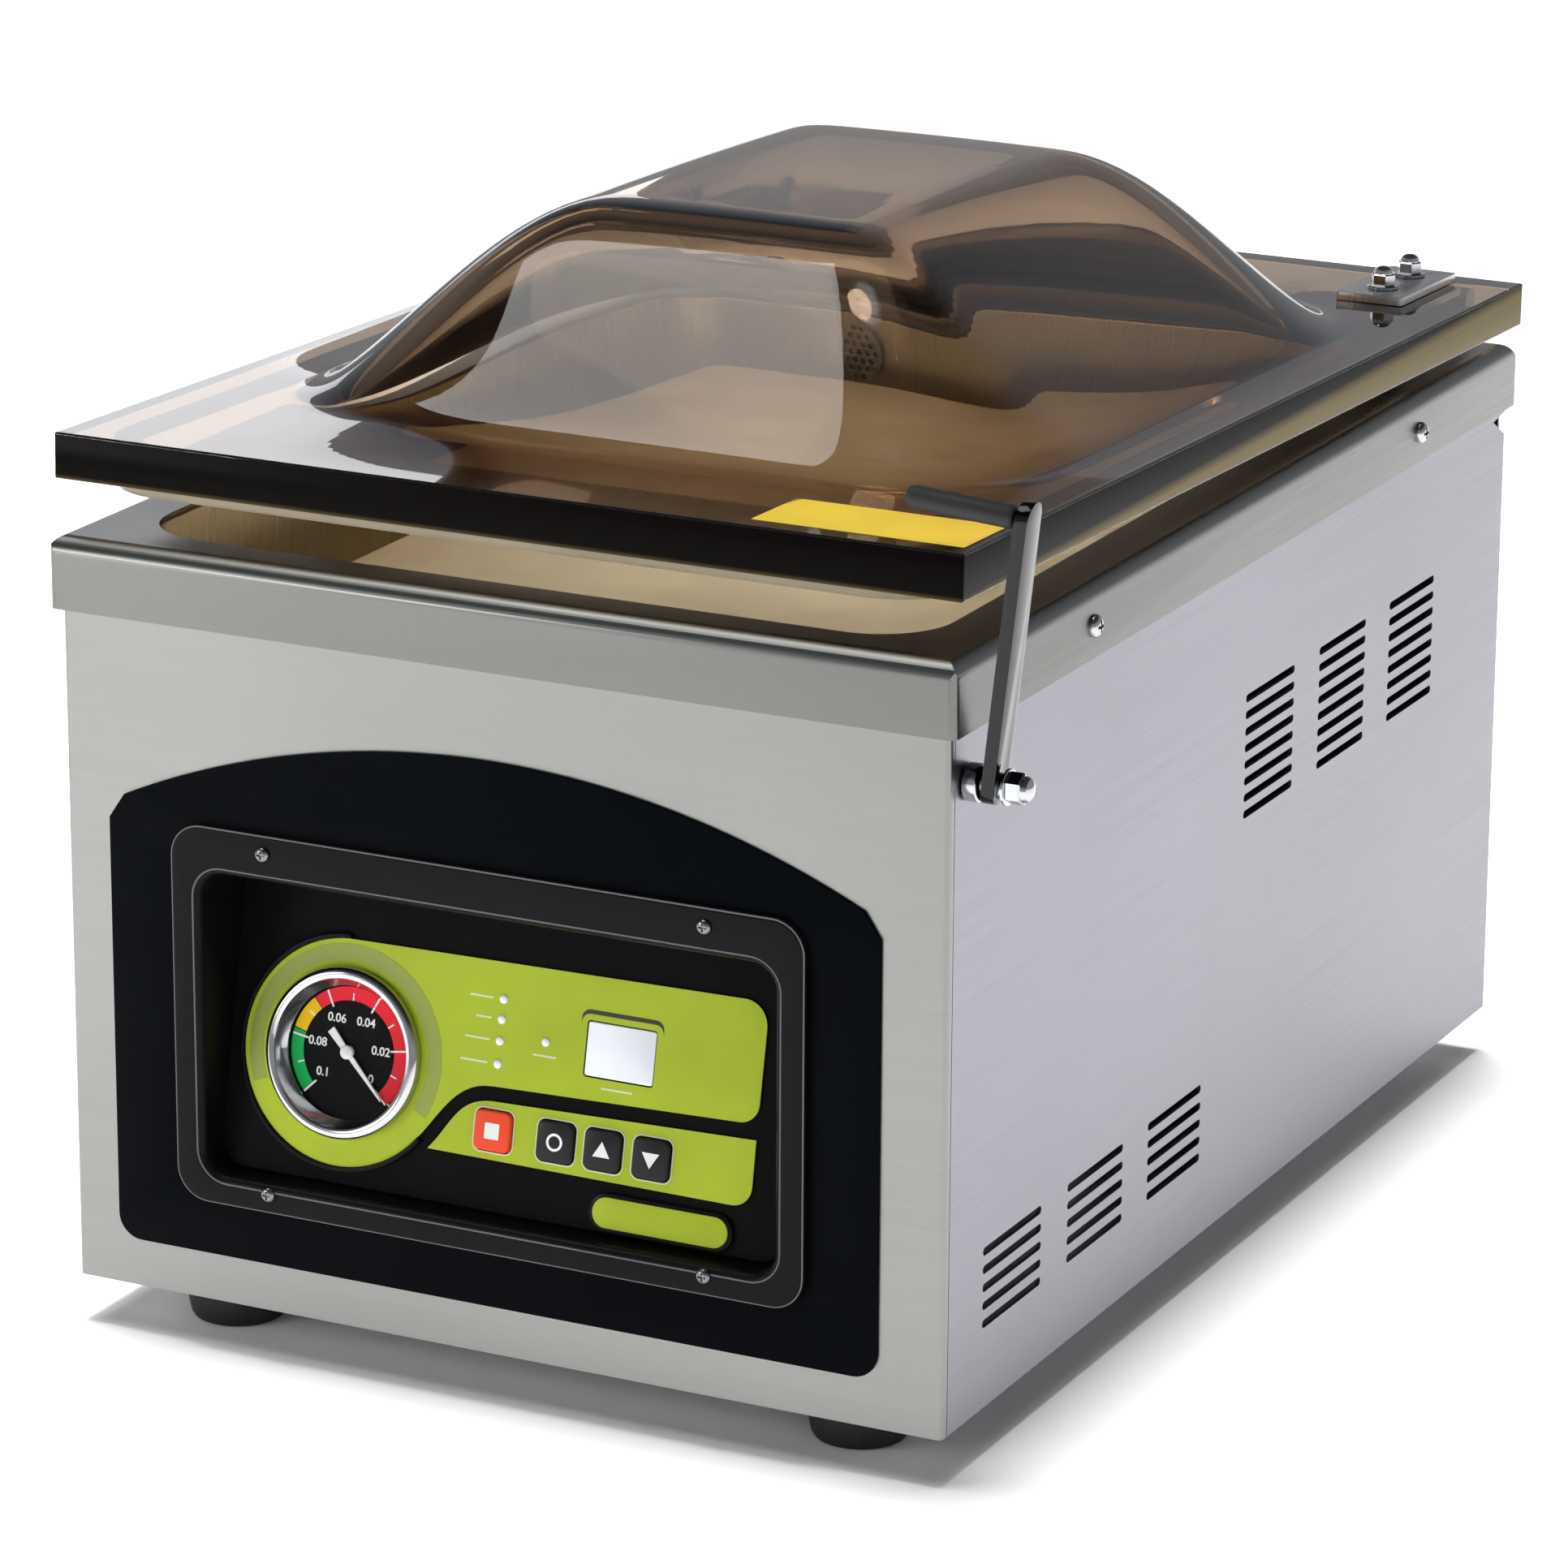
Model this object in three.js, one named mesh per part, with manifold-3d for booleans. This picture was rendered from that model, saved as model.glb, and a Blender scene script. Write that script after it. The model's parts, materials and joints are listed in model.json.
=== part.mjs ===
// Chamber vacuum packing machine with a domed acrylic lid, in millimetres, +Z up.
// The front with the control panel looks along -Y, and the lid's hinges are at +Y.
// The origin is the bottom centre of the whole machine's envelope.
import * as THREE from 'three';
import { mergeVertices } from 'three/addons/utils/BufferGeometryUtils.js';
import Module from 'manifold-3d';

const wasm = await Module();
wasm.setup();

// ---- driving dimensions ----
const RIM = { halfW: 172, halfD: 254, top: 288.5, skirt: 26, roll: 6.5, rearRoll: 15 };
const BODY = { halfW: 168.7, halfD: 250.7, bottom: 17.5, top: 278 };
const SHEET = 1.5;
const GAP = 0.3;
const CHAMBER = { halfW: 150, front: -236, rear: 176, depth: 66, corner: 27 };
const LID = { halfW: 171.6, front: -249.4, rear: 257, thick: 16.2, lift: 4.3, ajar: 1.64 };
const DOME = { halfW: 145.3, halfD: 184, centreX: 5, centreY: 2.3, rise: 70, crown: 8, sag: 0.055 };
const DOME_WALL = { sideRun: 97, frontRun: 90, rearRun: 111, plan: 2.8, steepness: 0.69 };
const GASKET = { halfW: 163, front: -246, rear: 186, corner: 30, width: 8.5 };
const PRESSURE_BAR = { halfD: 7, thick: 8 };
const HINGE = { y: 263.5, z: 285, knuckle: 5, pin: 2.3, x: 134.5, leafW: 27, neck: 5, pinHalf: 12 };
const BRACKET = { low: 263, high: 283, thick: 2.5, ear: 9.4, earHalf: 4, earLow: 279, earHigh: 284 };
const LEVER = { y: -237, z: 244.2, reach: 97.5, forward: 10.7, lean: 10.6, armW: 12, armT: 4.7, x: 178.5 };
const GRIP = { r: 3.9, bore: 2.5, length: 39, tilt: 4.5 };
const PANEL = { x: -2.9, z: 60, inset: 3.9, tilt: 12 };
const RECESS = { halfW: 110.6, bottom: 66, top: 176, corner: 9, back: -214 };
const PAN = { height: 12 };
const FRAME = { halfW: 121.7, bottom: 55.6, top: 192.9, corner: 12, thick: 3 };
const TRIM = { halfW: 148, bottom: 35.2, side: 196, apex: 230.7, corner: 9, ease: 6, thick: 1 };
const GAUGE = { x: -64.2, w: 53.2, bezel: 30.1, bore: 25.8, body: 27, can: 22, back: -24, proud: 5.2 };
const NEEDLE = { reach: 21, tail: 10, tailHalf: 1.5, hub: 2.4, restTurn: -45 };
const BUTTON = { size: 14, w: 35.4, proud: 1.6, depth: 3.5, corner: 2 };
const DISPLAY = { x: 41.6, w: 69.2, width: 26, height: 18.6, low: -1.8, high: 0.8 };
const FOOT = { x: 123, y: 218, r: 19, tread: 17 };
const SLOT = { height: 3, pitchY: 68.7 };
const UPPER_VENTS = { firstY: 20.5, topZ: 210.3, rows: 8, pitch: 6.2, length: 45 };
const LOWER_VENTS = { firstY: -196, topZ: 74, rows: 5, pitch: 6.5, length: 47 };
const REAR_VENTS = { firstX: -70, pitchX: 70, topZ: 161.5, rows: 6, pitch: 8, length: 48 };
const NOTCH = { front: 238.5, frontZ: 258, rear: 252, rearLow: 251, rearHigh: 260 };
const RETURN = { depth: 4, gap: 0.4 };
const REAR_INSET = 0.8;
const RIM_SCREW = { r: 4, height: 2.9, front: -145, rear: 152, z: 274 };
const PANEL_SCREW = { r: 2.7, height: 1.7, x: 84.8, upperZ: 186.4, lowerZ: 62.6 };
const FACE = { halfW: RECESS.halfW - GAP, low: 7.4, high: 117.8, corner: 10, thick: 3 };
const FILM = { disc: 41.6, low: 22.5, high: 94.8, right: 98, corner: 9, top: 0.9 };
const KEYS = { stop_button: -3.7, set_button: 20.6, up_button: 38.8, down_button: 57.4 };
const BOLT = { front: 205, rear: 232, shank: 2.4, hole: 2.8, washer: 6, nut: 4.3 };
const LEAF = { front: 190, rear: 247, under: 4, thick: 3 };
const STUD = { r: 4, collar: 6.5, nut: 5.4, washer: 6.2, hole: 4.3 };
const CYLINDER = { r: 9, bore: 4.3, rod: 4, floor: 4 };
const SEAL = { y: -214, length: 256, depth: 18, top: 270, thick: 20, post: 92, rodLength: 18 };
const FILLER = { halfW: 122, front: -186, rear: 150, corner: 8, thick: 34 };
const PORT = { x: -66, z: 266, halfW: 12.5, halfH: 16, hole: 6, thick: 3 };
const INLET = { x: 92, z: 62, halfW: 12.5, halfH: 8.5, depth: 20 };
const SWITCH = { x: 62, z: 62, halfW: 7, halfH: 11, depth: 14 };
const SOCKET = { wall: 2, flange: 2.5, flangeHalfH: 15, left: 13, right: 24 };
const MOTOR = { x: -62, r: 52, front: 40, rear: 205, axis: 62, footHalfW: 40, footHigh: 30 };
const PUMP = { left: -118, right: -8, front: -75, rear: 34, height: 118 };
const PUMP_PORT = { x: -66, y: -20, r: 14, low: 110, high: 140 };
const COUPLING = { r: 40, front: 30, gap: 0.4 };
const FILTER = { x: 18, y: -20, r: 27, low: 30, high: 140 };
const COIL = { x: 98, halfW: 40, front: 110, rear: 180, height: 70, lap: 12 };
const VALVE = { x: 96, y: -42, low: 150, high: 176, halfW: 22, halfD: 18, coil: 13, tip: 206 };
const HOSE = { r: 7, steps: 24 };
const ROCKER = { proud: 3, tilt: 8, side: 0.5 };

const deg = THREE.MathUtils.degToRad;
const underside = RIM.top - SHEET;
const chamberFloor = RIM.top - CHAMBER.depth;

// ---- materials ----
const finish = (color, roughness, metalness, opacity = 1) =>
  () => new THREE.MeshStandardMaterial({
    color, roughness, metalness, opacity, transparent: opacity < 1,
  });
const steel = finish(0xbfc0ba, 0.32, 1);
const tubSteel = finish(0xb5b3a6, 0.3, 1);
const chrome = finish(0xd8dade, 0.12, 1);
const blackPlastic = finish(0x17181a, 0.5, 0);
const frameGrey = finish(0x2a2b2d, 0.45, 0);
const limeFilm = finish(0xa6b93a, 0.4, 0);
const smokedAcrylic = finish(0x4a3a2c, 0.05, 0, 0.45);
const silicone = finish(0xb9a98a, 0.6, 0);
const whitePoly = finish(0xece8d8, 0.55, 0);
const rubber = finish(0x101010, 0.85, 0);
const clearGlass = finish(0xf2f6f6, 0.03, 0, 0.2);
const dialBlack = finish(0x0c0c0d, 0.5, 0);
const redPlastic = finish(0xd8342a, 0.4, 0);
const paleWindow = finish(0xe9ecf0, 0.2, 0);
const castMetal = finish(0x8b8f92, 0.5, 0.8);
const motorPaint = finish(0x3a4148, 0.5, 0.2);
const copper = finish(0xb06a3a, 0.4, 1);
const boardGreen = finish(0x1f5a36, 0.5, 0);
const hosePvc = finish(0xc9cfcf, 0.4, 0);

// ---- shape helpers ----
function toSolid(geometry) {
  const bare = geometry.clone();
  bare.deleteAttribute('normal');
  bare.deleteAttribute('uv');
  const merged = mergeVertices(bare.index ? bare.toNonIndexed() : bare, 1e-4);
  return new wasm.Manifold(new wasm.Mesh({
    numProp: 3,
    vertProperties: new Float32Array(merged.attributes.position.array),
    triVerts: new Uint32Array(merged.index.array),
  }));
}

function fromSolid(solid) {
  const { vertProperties, triVerts, numProp } = solid.getMesh();
  const positions = new Float32Array((vertProperties.length / numProp) * 3);
  for (let i = 0; i < positions.length / 3; i += 1) {
    positions.set(vertProperties.subarray(i * numProp, i * numProp + 3), i * 3);
  }
  const geometry = new THREE.BufferGeometry();
  geometry.setAttribute('position', new THREE.BufferAttribute(positions, 3));
  geometry.setIndex(new THREE.BufferAttribute(new Uint32Array(triVerts), 1));
  return geometry;
}

const cut = (base, ...tools) => fromSolid(tools.reduce((s, t) => s.subtract(toSolid(t)), toSolid(base)));
const join = (base, ...more) => fromSolid(more.reduce((s, t) => s.add(toSolid(t)), toSolid(base)));
const meet = (a, b) => fromSolid(toSolid(a).intersect(toSolid(b)));

// A box between two corners.
function block(x0, x1, y0, y1, z0, z1) {
  return new THREE.BoxGeometry(x1 - x0, y1 - y0, z1 - z0)
    .translate((x0 + x1) / 2, (y0 + y1) / 2, (z0 + z1) / 2);
}

// A cylinder, cone or prism along 'x', 'y' or 'z', from a to b on that axis.
function rod(axis, r0, r1, a, b, sides = 24) {
  const g = new THREE.CylinderGeometry(r1, r0, b - a, sides).translate(0, (a + b) / 2, 0);
  if (axis === 'x') g.rotateZ(-Math.PI / 2);
  if (axis === 'z') g.rotateX(Math.PI / 2);
  return g;
}

function rounded(halfW, low, high, corner) {
  const s = new THREE.Shape();
  s.moveTo(-halfW + corner, low);
  s.lineTo(halfW - corner, low);
  s.absarc(halfW - corner, low + corner, corner, -Math.PI / 2, 0);
  s.lineTo(halfW, high - corner);
  s.absarc(halfW - corner, high - corner, corner, 0, Math.PI / 2);
  s.lineTo(-halfW + corner, high);
  s.absarc(-halfW + corner, high - corner, corner, Math.PI / 2, Math.PI);
  s.lineTo(-halfW, low + corner);
  s.absarc(-halfW + corner, low + corner, corner, Math.PI, Math.PI * 1.5);
  return s;
}

function raise(shape, z0, z1, curveSegments = 4) {
  const settings = { depth: z1 - z0, bevelEnabled: false, curveSegments };
  return new THREE.ExtrudeGeometry(shape, settings).translate(0, 0, z0);
}

// Stands an X-Z outline up in the front plane: shape y becomes z, and depth runs from y0 back to y1.
function upright(shape, y0, y1, curveSegments = 4) {
  return raise(shape, 0, y1 - y0, curveSegments).rotateX(Math.PI / 2).translate(0, y1, 0);
}

function lathe(profile, sides = 32) {
  const points = profile.map(([r, h]) => new THREE.Vector2(r, h));
  return new THREE.LatheGeometry(points, sides).rotateX(Math.PI / 2);
}

const machine = new THREE.Group();

function add(group, name, geometry, material) {
  const mesh = new THREE.Mesh(geometry, material());
  mesh.name = name;
  group.add(mesh);
  return mesh;
}

// ---- cabinet ----
// Cutters for one stack of vent slots in a side panel at x.
function ventStack(x, column, { firstY, topZ, rows, pitch, length }) {
  const y = firstY + column * SLOT.pitchY;
  return Array.from({ length: rows }, (_, row) => {
    const z = topZ - row * pitch;
    return block(x - 4, x + 4, y - length / 2, y + length / 2, z - SLOT.height / 2, z + SLOT.height / 2);
  });
}

function sidePanel(side) {
  const outer = side * BODY.halfW;
  const inner = side * (BODY.halfW - SHEET);
  const x0 = Math.min(outer, inner);
  const front = -BODY.halfD + RETURN.depth + RETURN.gap;
  const sheet = block(x0, x0 + SHEET, front, BODY.halfD, BODY.bottom, BODY.top);
  const vents = [0, 1, 2].flatMap((column) => [
    ...ventStack(outer, column, UPPER_VENTS),
    ...ventStack(outer, column, LOWER_VENTS),
  ]);
  const relief = new THREE.Shape([
    new THREE.Vector2(NOTCH.front, NOTCH.frontZ),
    new THREE.Vector2(NOTCH.rear, NOTCH.rearHigh),
    new THREE.Vector2(NOTCH.rear, NOTCH.rearLow),
  ]);
  const notch = raise(relief, -4, 4).rotateX(Math.PI / 2).rotateZ(Math.PI / 2).translate(outer, 0, 0);
  return cut(sheet, ...vents, notch);
}

function frontPanel() {
  const f = -BODY.halfD;
  const sheet = block(-BODY.halfW, BODY.halfW, f, f + SHEET, BODY.bottom, BODY.top);
  const returns = [-BODY.halfW, BODY.halfW - SHEET].map((x) => block(
    x, x + SHEET, f, f + RETURN.depth, BODY.bottom, BODY.top,
  ));
  const clear = SHEET + 2 * GAP;
  const window = upright(
    rounded(RECESS.halfW + clear, RECESS.bottom - clear, RECESS.top + clear, RECESS.corner), f - 2, f + 4,
  ).translate(PANEL.x, 0, 0);
  return cut(join(sheet, ...returns), window);
}

function rearPanel() {
  const y1 = BODY.halfD - REAR_INSET;
  const halfW = BODY.halfW - SHEET - GAP;
  const sheet = block(-halfW, halfW, y1 - SHEET, y1, BODY.bottom, BODY.top);
  const clear = SOCKET.wall + GAP;
  const ports = [INLET, SWITCH].map((p) => block(
    p.x - p.halfW - clear, p.x + p.halfW + clear, y1 - 5, y1 + 5,
    p.z - p.halfH - clear, p.z + p.halfH + clear,
  ));
  const { firstX, pitchX, topZ, rows, pitch, length } = REAR_VENTS;
  const vents = [firstX, firstX + pitchX].flatMap((x) => Array.from({ length: rows }, (_, row) => {
    const z = topZ - row * pitch;
    return block(x - length / 2, x + length / 2, y1 - 5, y1 + 5, z - SLOT.height / 2, z + SLOT.height / 2);
  }));
  return cut(sheet, ...ports, ...vents);
}

function basePan() {
  const halfW = BODY.halfW - SHEET - GAP;
  const y0 = -BODY.halfD + SHEET + GAP;
  const y1 = BODY.halfD - REAR_INSET - SHEET - GAP;
  const low = BODY.bottom;
  const tray = block(-halfW, halfW, y0, y1, low, low + PAN.height);
  const well = block(
    -halfW + SHEET, halfW - SHEET, y0 + SHEET, y1 - SHEET, low + SHEET, low + 2 * PAN.height,
  );
  return cut(tray, well);
}

// The rolled top pan: side rolls and front and rear rolls meet in mitred corners.
function rolledPan(inset) {
  const r = Math.max(RIM.roll - inset, 1);
  const rr = RIM.rearRoll - inset;
  const halfW = RIM.halfW - inset;
  const halfD = RIM.halfD - inset;
  const top = RIM.top - inset;
  const low = inset > 0 ? RIM.top - RIM.skirt - 5 : RIM.top - RIM.skirt;
  const across = new THREE.Shape();
  across.moveTo(-halfW, low);
  across.lineTo(halfW, low);
  across.lineTo(halfW, top - r);
  across.absarc(halfW - r, top - r, r, 0, Math.PI / 2);
  across.lineTo(-halfW + r, top);
  across.absarc(-halfW + r, top - r, r, Math.PI / 2, Math.PI);
  const along = new THREE.Shape();
  along.moveTo(-halfD, low);
  along.lineTo(halfD, low);
  along.lineTo(halfD, top - rr);
  along.absarc(halfD - rr, top - rr, rr, 0, Math.PI / 2);
  along.lineTo(-halfD + r, top);
  along.absarc(-halfD + r, top - r, r, Math.PI / 2, Math.PI);
  const length = 2 * RIM.halfD + 20;
  const crossways = upright(across, -length / 2, length / 2);
  const lengthways = raise(along, -length / 2, length / 2).rotateX(Math.PI / 2).rotateZ(Math.PI / 2);
  return meet(crossways, lengthways);
}

const chamberOutline = (grow) => rounded(
  CHAMBER.halfW + grow, CHAMBER.front - grow, CHAMBER.rear + grow, CHAMBER.corner + grow,
);

function deckRim() {
  const opening = raise(chamberOutline(0), RIM.top - 40, RIM.top + 10);
  return cut(rolledPan(0), rolledPan(SHEET), opening);
}

function chamberTub() {
  const top = underside - GAP;
  const walls = raise(chamberOutline(SHEET), chamberFloor - SHEET, top);
  const flange = raise(chamberOutline(9), top - SHEET, top);
  const hollow = raise(chamberOutline(0), chamberFloor, top + 5);
  const portHole = rod('y', PORT.hole, PORT.hole, CHAMBER.rear - 5, CHAMBER.rear + 8, 12)
    .translate(PORT.x, 0, PORT.z);
  return cut(join(walls, flange), hollow, portHole);
}

function foot() {
  return lathe([[0, 0], [FOOT.tread - 2, 0], [FOOT.tread, 2], [FOOT.r, 13], [FOOT.r, 16],
    [FOOT.r - 1.2, BODY.bottom - GAP], [0, BODY.bottom - GAP]], 18);
}

// A pan head: a short straight edge under a low crown.
function panHead({ r, height }, sides) {
  return lathe([[0, 0], [r, 0], [r, height * 0.35], [r * 0.75, height * 0.76],
    [r * 0.35, height * 0.96], [0, height]], sides);
}

function buildCabinet() {
  add(machine, 'base_pan', basePan(), steel);
  add(machine, 'front_panel', frontPanel(), steel);
  add(machine, 'right_side_panel', sidePanel(1), steel);
  add(machine, 'left_side_panel', sidePanel(-1), steel);
  add(machine, 'rear_panel', rearPanel(), steel);
  add(machine, 'deck_rim', deckRim(), steel);
  add(machine, 'chamber_tub', chamberTub(), tubSteel);
  for (const [end, sy] of [['front', -1], ['rear', 1]]) {
    for (const [side, sx] of [['left', -1], ['right', 1]]) {
      add(machine, `foot_${end}_${side}`, foot(), rubber).position.set(sx * FOOT.x, sy * FOOT.y, 0);
    }
  }
  // Pan-head screws that hold the rolled rim to the cabinet.
  for (const end of ['front', 'rear']) {
    const screw = add(machine, `rim_screw_${end}`, panHead(RIM_SCREW, 16), chrome);
    screw.rotation.y = Math.PI / 2;
    screw.position.set(RIM.halfW + GAP, RIM_SCREW[end], RIM_SCREW.z);
  }
}

// ---- control panel ----
function trimPlate() {
  const bow = TRIM.apex - TRIM.side;
  const arcR = (TRIM.halfW ** 2 + bow ** 2) / (2 * bow);
  const half = Math.asin((TRIM.halfW - TRIM.ease) / arcR);
  const s = new THREE.Shape();
  s.moveTo(-TRIM.halfW + TRIM.corner, TRIM.bottom);
  s.lineTo(TRIM.halfW - TRIM.corner, TRIM.bottom);
  s.absarc(TRIM.halfW - TRIM.corner, TRIM.bottom + TRIM.corner, TRIM.corner, -Math.PI / 2, 0);
  s.lineTo(TRIM.halfW, TRIM.side - TRIM.ease);
  s.absarc(0, TRIM.apex - arcR, arcR, Math.PI / 2 - half, Math.PI / 2 + half);
  s.lineTo(-TRIM.halfW, TRIM.side - TRIM.ease);
  s.lineTo(-TRIM.halfW, TRIM.bottom + TRIM.corner);
  s.absarc(-TRIM.halfW + TRIM.corner, TRIM.bottom + TRIM.corner, TRIM.corner, Math.PI, Math.PI * 1.5);
  const clear = SHEET + 2 * GAP;
  s.holes.push(new THREE.Path(rounded(
    RECESS.halfW + clear, RECESS.bottom - clear, RECESS.top + clear, RECESS.corner,
  ).getPoints(4)));
  const y1 = -BODY.halfD - GAP;
  return upright(s, y1 - TRIM.thick, y1, 8);
}

// The moulded surround: a flange in front of the trim plate, and a sleeve through the front panel.
function panelFrame() {
  const y1 = -BODY.halfD - 2 * GAP - TRIM.thick;
  const flange = upright(
    rounded(FRAME.halfW, FRAME.bottom, FRAME.top, FRAME.corner), y1 - FRAME.thick, y1,
  );
  const sleeve = upright(
    rounded(RECESS.halfW + SHEET, RECESS.bottom - SHEET, RECESS.top + SHEET, RECESS.corner),
    y1 - 1, RECESS.back,
  );
  const well = upright(
    rounded(RECESS.halfW, RECESS.bottom, RECESS.top, RECESS.corner), y1 - 10, RECESS.back + 10,
  );
  return cut(join(flange, sleeve), well);
}

const faceGroup = new THREE.Group();
faceGroup.position.set(PANEL.x, -BODY.halfD + PANEL.inset, PANEL.z);
faceGroup.rotation.x = deg(90 - PANEL.tilt);

// A square opening in the face, wider than the piece in it by grow all round.
function faceOpening(x, w, width, height, grow) {
  const halfW = width / 2 + grow;
  const halfH = height / 2 + grow;
  return block(x - halfW, x + halfW, w - halfH, w + halfH, -10, 10);
}

const faceHoles = (grow) => [
  rod('z', GAUGE.body + grow, GAUGE.body + grow, -10, 10, 28).translate(GAUGE.x, GAUGE.w, 0),
  faceOpening(DISPLAY.x, DISPLAY.w, DISPLAY.width, DISPLAY.height, grow),
  ...Object.values(KEYS).map((x) => faceOpening(x, BUTTON.w, BUTTON.size, BUTTON.size, grow)),
];

// The printed film: a disc round the gauge that runs into a rounded field on its right.
function faceOverlay() {
  const disc = rod('z', FILM.disc, FILM.disc, GAP, FILM.top, 28).translate(GAUGE.x, GAUGE.w, 0);
  const field = raise(rounded(FILM.right / 2 - 1, FILM.low, FILM.high, FILM.corner), GAP, FILM.top)
    .translate(FILM.right / 2 + 1, 0, 0);
  const neck = block(GAUGE.x, 20, FILM.low + 1.5, FILM.high, GAP, FILM.top);
  return cut(join(disc, neck, field), ...faceHoles(GAP));
}

function buildControls() {
  add(machine, 'front_trim_plate', trimPlate(), blackPlastic).position.x = PANEL.x;
  add(machine, 'panel_frame', panelFrame(), frameGrey).position.x = PANEL.x;
  const front = -BODY.halfD - 3 * GAP - TRIM.thick - FRAME.thick;
  for (const [row, z] of [['upper', PANEL_SCREW.upperZ], ['lower', PANEL_SCREW.lowerZ]]) {
    for (const [side, sx] of [['left', -1], ['right', 1]]) {
      const screw = add(machine, `panel_screw_${row}_${side}`, panHead(PANEL_SCREW, 14), chrome);
      screw.rotation.x = Math.PI / 2;
      screw.position.set(PANEL.x + sx * PANEL_SCREW.x, front, z);
    }
  }
  const plate = raise(rounded(FACE.halfW, FACE.low, FACE.high, FACE.corner), -FACE.thick, 0);
  add(faceGroup, 'control_face', cut(plate, ...faceHoles(GAP)), blackPlastic);
  add(faceGroup, 'face_overlay', faceOverlay(), limeFilm);
  add(faceGroup, 'display_window', block(
    DISPLAY.x - DISPLAY.width / 2, DISPLAY.x + DISPLAY.width / 2,
    DISPLAY.w - DISPLAY.height / 2, DISPLAY.w + DISPLAY.height / 2, DISPLAY.low, DISPLAY.high,
  ), paleWindow);
  const half = BUTTON.size / 2;
  for (const [name, x] of Object.entries(KEYS)) {
    const outline = rounded(half, -half, half, BUTTON.corner);
    const cap = raise(outline, -BUTTON.depth, FILM.top + BUTTON.proud, 3);
    const key = add(faceGroup, name, cap, name === 'stop_button' ? redPlastic : dialBlack);
    key.position.set(x, BUTTON.w, 0);
  }
  add(faceGroup, 'control_board', block(-20, 80, 18, 96, -16, -14.4), boardGreen);
  machine.add(faceGroup);
}

function buildGauge() {
  const gauge = new THREE.Group();
  gauge.position.set(GAUGE.x, GAUGE.w, 0);
  const { bezel, bore, body, can, back, proud } = GAUGE;
  add(gauge, 'gauge_case', lathe([[0, back], [body, back], [body, 1.2], [bezel, 1.2],
    [bezel, proud - 1.2], [bezel - 1.3, proud], [bore, proud], [bore, -3], [can, -3],
    [can, back + 2], [0, back + 2]], 28), chrome);
  add(gauge, 'gauge_dial', rod('z', bore - GAP, bore - GAP, -2.7, -1.7, 28), dialBlack);
  add(gauge, 'gauge_lens', rod('z', bore - GAP, bore - GAP, 2.4, 3.8, 28), clearGlass);
  // The pointer: a slim blade, a hub and a broad tail, pointing down to the right at rest.
  const { reach: tip, tail, tailHalf, hub, restTurn } = NEEDLE;
  const blade = new THREE.Shape([
    new THREE.Vector2(0, -1), new THREE.Vector2(tip, -0.4), new THREE.Vector2(tip, 0.4),
    new THREE.Vector2(0, 1), new THREE.Vector2(-tail, tailHalf), new THREE.Vector2(-tail, -tailHalf),
  ]);
  const needle = join(raise(blade, -0.9, 0), rod('z', hub, hub, -1.2, 0.8, 16));
  add(gauge, 'gauge_needle', needle, whitePoly).rotation.z = deg(restTurn);
  faceGroup.add(gauge);
}

// ---- lid ----
// How far in from the dome's foot a point is along one axis: 0 on the crown, 1 at the foot.
const reach = (fromFoot, run) => 1 - Math.min(Math.max(fromFoot / run, 0), 1);

// How far the blown dome stands above the flat sheet at (x, y).
function domeHeight(x, y) {
  const dx = x - DOME.centreX;
  const dy = y - DOME.centreY;
  const side = reach(DOME.halfW - Math.abs(dx), DOME_WALL.sideRun);
  const end = reach(DOME.halfD - Math.abs(dy), dy < 0 ? DOME_WALL.frontRun : DOME_WALL.rearRun);
  const out = (side ** DOME_WALL.plan + end ** DOME_WALL.plan) ** (1 / DOME_WALL.plan);
  const up = Math.max(1 - out, 0);
  const sag = DOME.sag * ((dx / DOME.halfW) ** 2 + (dy / DOME.halfD) ** 2);
  return DOME.rise * (up * up * (3 - 2 * up)) ** DOME_WALL.steepness * (1 - sag);
}

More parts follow.
